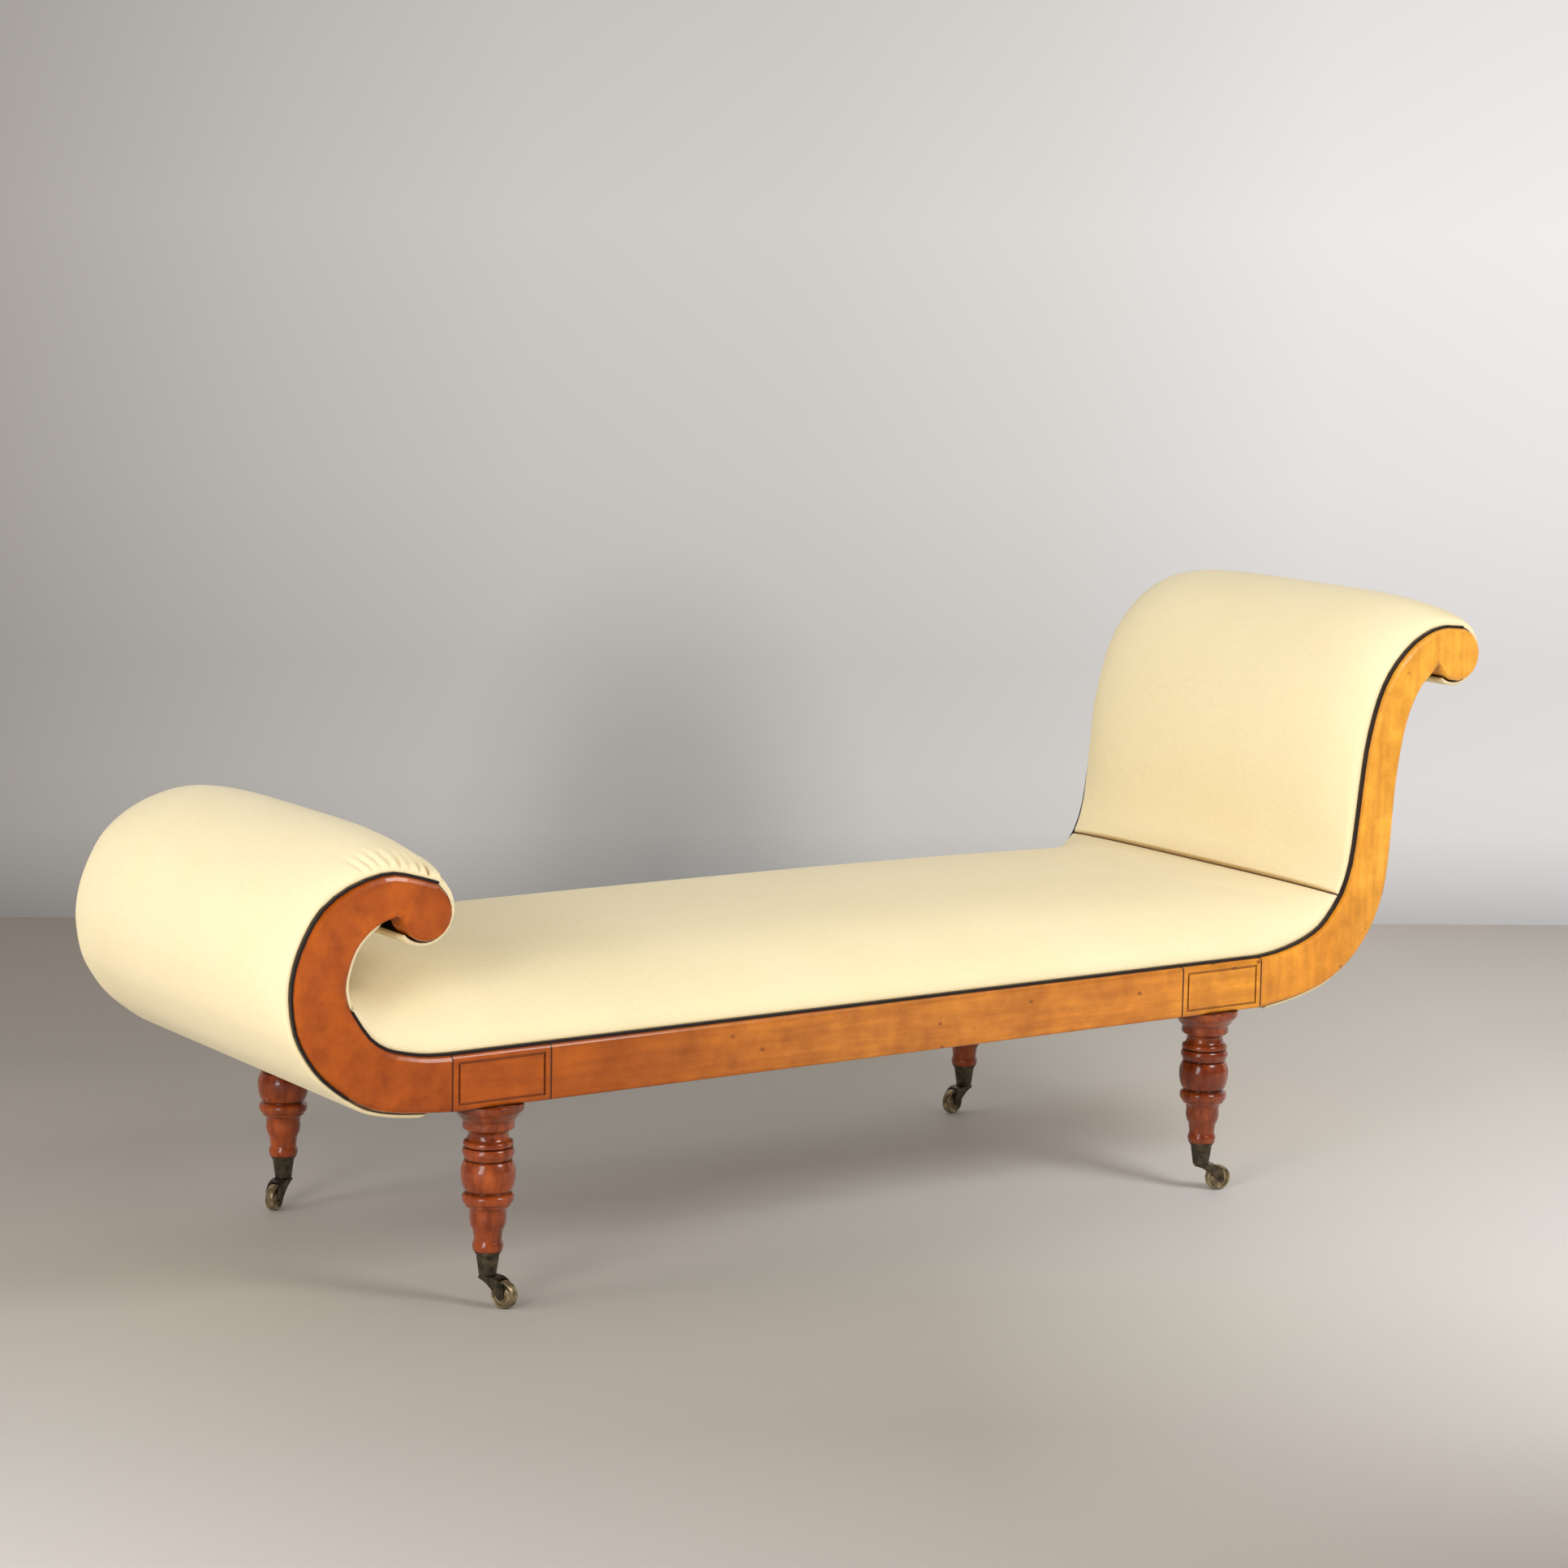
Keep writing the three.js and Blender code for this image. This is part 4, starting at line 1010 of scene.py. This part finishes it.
def seen_directly(tree):
    """1 for rays from the camera, in reflections or through glass, 0 for rays that light the couch."""
    path = tree.nodes.new("ShaderNodeLightPath")
    rays = ("Is Camera Ray", "Is Glossy Ray", "Is Transmission Ray")
    return total_of(tree, "MAXIMUM", [path.outputs[ray] for ray in rays])


def wall_coordinates(tree):
    """Place along the wall, distance from it, negative in front, and height, in metres."""
    mapping = tree.nodes.new("ShaderNodeMapping")
    mapping.vector_type = "TEXTURE"
    mapping.inputs["Location"].default_value = (*WALL_START, 0)
    mapping.inputs["Rotation"].default_value = (0, 0, -WALL_YAW)
    place = tree.nodes.new("ShaderNodeTexCoord")
    tree.links.new(place.outputs["Object"], mapping.inputs["Vector"])
    split = tree.nodes.new("ShaderNodeSeparateXYZ")
    tree.links.new(mapping.outputs["Vector"], split.inputs["Vector"])
    return split.outputs["X"], split.outputs["Y"], split.outputs["Z"]


def couch_shadow(tree, s, z):
    """The soft shadow that the couch leaves on the wall behind its seat."""
    spot = tree.nodes.new("ShaderNodeCombineXYZ")
    for socket, value, middle, half in zip("XZ", (s, z), SHADOW_MIDDLE, SHADOW_HALF_SIZE):
        share = spread_node(tree, value, middle - half, middle + half, -1, 1)
        tree.links.new(share, spot.inputs[socket])
    reach = tree.nodes.new("ShaderNodeVectorMath")
    reach.operation = "LENGTH"
    tree.links.new(spot.outputs["Vector"], reach.inputs[0])
    return ramp_node(tree, reach.outputs["Value"], (
        (0.0, grey(0.66)), (0.4, grey(0.75)), (0.7, grey(0.9)), (1.0, grey(1)),
    ))


def make_wall():
    """A grey wall that glows with painted light and shade where it is seen directly, lighter towards the
    right. It shows from its front only and so blocks no view.
    """
    along = Vector((math.cos(WALL_YAW), -math.sin(WALL_YAW), 0))
    start = Vector((*WALL_START, 0))
    low, high = start - along * WALL_REACH, start + along * WALL_REACH
    up = Vector((0, 0, WALL_HEIGHT))
    wall = flat_piece("wall", [low, high, high + up, low + up])
    material, tree, shader = new_material("studio_wall")
    s, _, z = wall_coordinates(tree)
    # Painted light along the wall: darker at the left, lighter towards the right
    painted_light_along = ramp_node(tree, spread_node(tree, s, 0, WALL_SPAN), (
        (0.0, tone(165, 160, 155)), (0.17, tone(184, 180, 175)), (0.33, tone(197, 193, 188)),
        (0.5, tone(203, 200, 195)), (0.65, tone(213, 209, 205)), (0.83, tone(229, 225, 223)),
        (1.0, tone(233, 230, 229)),
    ))
    # Painted light and shade upwards: darkest where the wall meets the floor, a slight dip low down,
    # lightest at three quarters up
    painted_light_upwards = ramp_node(tree, spread_node(tree, z, 0, WALL_TOP), (
        (0.0, grey(0.60)), (0.05, grey(0.76)), (0.1, grey(0.89)), (0.16, grey(0.92)), (0.28, grey(0.89)),
        (0.48, grey(1.0)), (0.75, grey(1.08)), (1.0, grey(1.0)),
    ))
    colour = mix_colours(tree, 1.0, painted_light_along, painted_light_upwards, "MULTIPLY")
    colour = mix_colours(tree, 1.0, colour, couch_shadow(tree, s, z), "MULTIPLY")
    glow = tree.nodes.new("ShaderNodeEmission")
    tree.links.new(colour, glow.inputs["Color"])
    shader.inputs["Base Color"].default_value = (*grey(0.5), 1)
    shader.inputs["Roughness"].default_value = 0.9
    shown = tree.nodes.new("ShaderNodeMixShader")
    tree.links.new(seen_directly(tree), shown.inputs["Fac"])
    tree.links.new(shader.outputs["BSDF"], shown.inputs[1])
    tree.links.new(glow.outputs["Emission"], shown.inputs[2])
    side = tree.nodes.new("ShaderNodeNewGeometry")
    clear = tree.nodes.new("ShaderNodeBsdfTransparent")
    faced = tree.nodes.new("ShaderNodeMixShader")
    tree.links.new(side.outputs["Backfacing"], faced.inputs["Fac"])
    tree.links.new(shown.outputs["Shader"], faced.inputs[1])
    tree.links.new(clear.outputs["BSDF"], faced.inputs[2])
    tree.links.new(faced.outputs["Shader"], tree.nodes["Material Output"].inputs["Surface"])
    wall.data.materials.append(material)
    facing = wall.data.polygons[0].normal.dot(Vector((0, -1, 0)))
    if facing < 0:
        wall.data.flip_normals()


def make_floor():
    """A grey floor with painted light and shade, whose tone changes with the distance from the wall, in
    three columns along it.
    """
    signs = ((-1, -1), (1, -1), (1, 1), (-1, 1))
    floor = flat_piece("floor", [Vector((x * FLOOR_REACH, y * FLOOR_REACH, 0)) for x, y in signs])
    material, tree, shader = new_material("studio_floor")
    s, away, _ = wall_coordinates(tree)
    distance = spread_node(tree, away, 0, -FLOOR_DEPTH)
    left, middle, right = [ramp_node(tree, distance, column) for column in FLOOR_COLUMNS]
    colour = mix_colours(tree, spread_node(tree, s, *LEFT_TO_MIDDLE), left, middle)
    colour = mix_colours(tree, spread_node(tree, s, *MIDDLE_TO_RIGHT), colour, right)
    tree.links.new(colour, shader.inputs["Base Color"])
    shader.inputs["Roughness"].default_value = 0.6
    shader.inputs["Specular IOR Level"].default_value = 0.2
    floor.data.materials.append(material)


def area_light(name, place, target, size, power, reflected):
    """A square lamp that the camera doesn't see and that polished pieces reflect if asked for."""
    data = bpy.data.lights.new(name, "AREA")
    data.size = size
    data.energy = power
    light = bpy.data.objects.new(name, data)
    bpy.context.scene.collection.objects.link(light)
    light.location = place
    light.rotation_euler = (Vector(target) - Vector(place)).to_track_quat("-Z", "Y").to_euler()
    light.visible_camera = False
    light.visible_glossy = reflected


def make_lights():
    """The lamps, and a room round them that is darker above and hardly shows in reflections."""
    for lamp in LAMPS:
        area_light(*lamp)
    world = bpy.data.worlds.new("studio")
    bpy.context.scene.world = world
    world.use_nodes = True
    tree = world.node_tree
    split = tree.nodes.new("ShaderNodeSeparateXYZ")
    tree.links.new(tree.nodes.new("ShaderNodeTexCoord").outputs["Generated"], split.inputs["Vector"])
    room = ramp_node(tree, split.outputs["Z"], ROOM_TONES)
    tree.links.new(room, tree.nodes["Background"].inputs["Color"])
    path = tree.nodes.new("ShaderNodeLightPath")
    strength = spread_node(tree, path.outputs["Is Glossy Ray"], 0, 1, ROOM_LIGHT, ROOM_REFLECTION)
    tree.links.new(strength, tree.nodes["Background"].inputs["Strength"])


make_camera()
make_wall()
make_floor()
make_lights()

SATINWOOD_TONES = (
    (-0.95, tone(174, 80, 5)), (-0.7, tone(168, 76, 5)), (-0.5, tone(172, 85, 9)),
    (-0.1, tone(198, 119, 36)), (0.35, tone(200, 119, 32)), (0.52, tone(218, 139, 35)),
    (0.68, tone(223, 141, 34)), (0.78, tone(238, 165, 54)), (0.93, tone(241, 168, 58)),
)
JOINTS = (FOOT_JOINT_X, block_high.x, head_block_low.x, HEAD_JOINT_X)
# Direction of the grain in each part of the frame, and how strong its streaks, mottling and clouds are
SATINWOOD_GRAINS = {
    "satinwood_rail": ((3, 34, 34), (0.2, 0.2, 0.16)),
    "satinwood_foot": ((26, 30, 22), (0.12, 0.26, 0.2)),
    "satinwood_head": ((34, 34, 3), (0.16, 0.2, 0.16)),
}
# How near another surface the darkening in corners begins, and how light the wood stays by the share of
# open space round it. The darkening is dirt of old polish and painted shade.
SLIGHT_CORNER_DIRT_AND_SHADE = (8 * MM, ((0.35, grey(0.25)), (0.65, grey(0.68)), (0.9, grey(1))))
TURNED_CORNER_DIRT_AND_SHADE = (20 * MM, ((0.3, grey(0)), (0.6, grey(0.5)), (0.9, grey(1))))
satinwood = {
    name: wood_material(
        name, SATINWOOD_TONES, *grain_and_figure, fleck=tone(90, 36, 8), dirt_and_shade=tone(84, 38, 12),
        corner_dirt_and_shade=SLIGHT_CORNER_DIRT_AND_SHADE, polish=(0.36, 0.5), joints=JOINTS,
    )
    for name, grain_and_figure in SATINWOOD_GRAINS.items()
}
mahogany = wood_material(
    "mahogany", ((0, tone(138, 58, 18)), (1, tone(140, 60, 20))), grain=(24, 24, 5),
    figure=(0.55, 0.25, 0.45), fleck=tone(50, 18, 8), dirt_and_shade=tone(24, 8, 5), corner_dirt_and_shade=TURNED_CORNER_DIRT_AND_SHADE,
    polish=(0.26, 0.75),
)
ebony = wood_material(
    "ebonised_wood", ((0, tone(38, 29, 30)), (1, tone(44, 33, 32))), grain=(3, 40, 40),
    figure=(0.2, 0.1, 0.1), fleck=tone(20, 16, 16), dirt_and_shade=tone(16, 12, 12), corner_dirt_and_shade=SLIGHT_CORNER_DIRT_AND_SHADE,
    polish=(0.4, 0.2),
)
beech = wood_material(
    "plain_beech", ((0, tone(184, 148, 108)), (1, tone(184, 148, 108))), grain=(3, 40, 40),
    figure=(0.22, 0.15, 0.15), fleck=tone(110, 80, 50), dirt_and_shade=tone(90, 66, 44), corner_dirt_and_shade=SLIGHT_CORNER_DIRT_AND_SHADE,
    polish=(0.7, 0.0),
)
cloth = cloth_material()
jute = jute_material()
dark_brass = brass_material(
    "caster_brass", (0.18, 0.13, 0.08), (0.085, 0.07, 0.045), (0.03, 0.026, 0.02), 0.4,
)
worn_brass = brass_material(
    "wheel_brass", (0.62, 0.47, 0.27), (0.36, 0.28, 0.16), (0.12, 0.095, 0.06), 0.34,
)

foot_outer = foot_outer_path()
foot_inner = foot_inner_path()
head_front = head_front_path()
head_back = head_back_path()

# Material of each slot and how far its sharp edges are softened. Scrolls have their own grain and edges.
SCROLL_SOFTENING = 2.5 * MM
SLOT_LOOKS = {
    "satinwood": (satinwood["satinwood_rail"], 1.2 * MM),
    "mahogany": (mahogany, 0),
    "ebonised_bead": (ebony, 1.3 * MM),
    "beech": (beech, 0),
    "jute_webbing": (jute, 0),
    "caster_brass": (dark_brass, 0.5 * MM),
    "wheel_brass": (worn_brass, 0),
}
for subpart in frame["record"]["subparts"]:
    if subpart["material_slot"] in SLOT_LOOKS:
        look = SLOT_LOOKS[subpart["material_slot"]]
        if subpart["node"].endswith("_scroll"):
            look = (satinwood["satinwood_" + subpart["node"].split("_")[1]], SCROLL_SOFTENING)
        dress_node(subpart["node"], *look)
make_turned_pieces()

# Each pad with the CAD solid that it replaces and how tightly it is filled
pads = {
    "seat_pad": (seat_pad(), 0.9),
    "head_pad": (head_pad(), 0.9),
    "foot_roll_pad": (foot_roll_pad(), 0.9),
    "foot_inside_pad": (foot_inside_pad(), 0.8),
    "head_back_cover": (back_cover(), 0.3),
}
moves = pressed_moves([(pads[node][0], feel) for node, feel in PRESSED.items()])
for node, (pad, fill) in pads.items():
    cushion = upholster(pad, moves.get(pad.name))
    finish_piece(cushion, cloth, "root", "cover_cloth", node)

bpy.context.scene.view_settings.view_transform = "Standard"
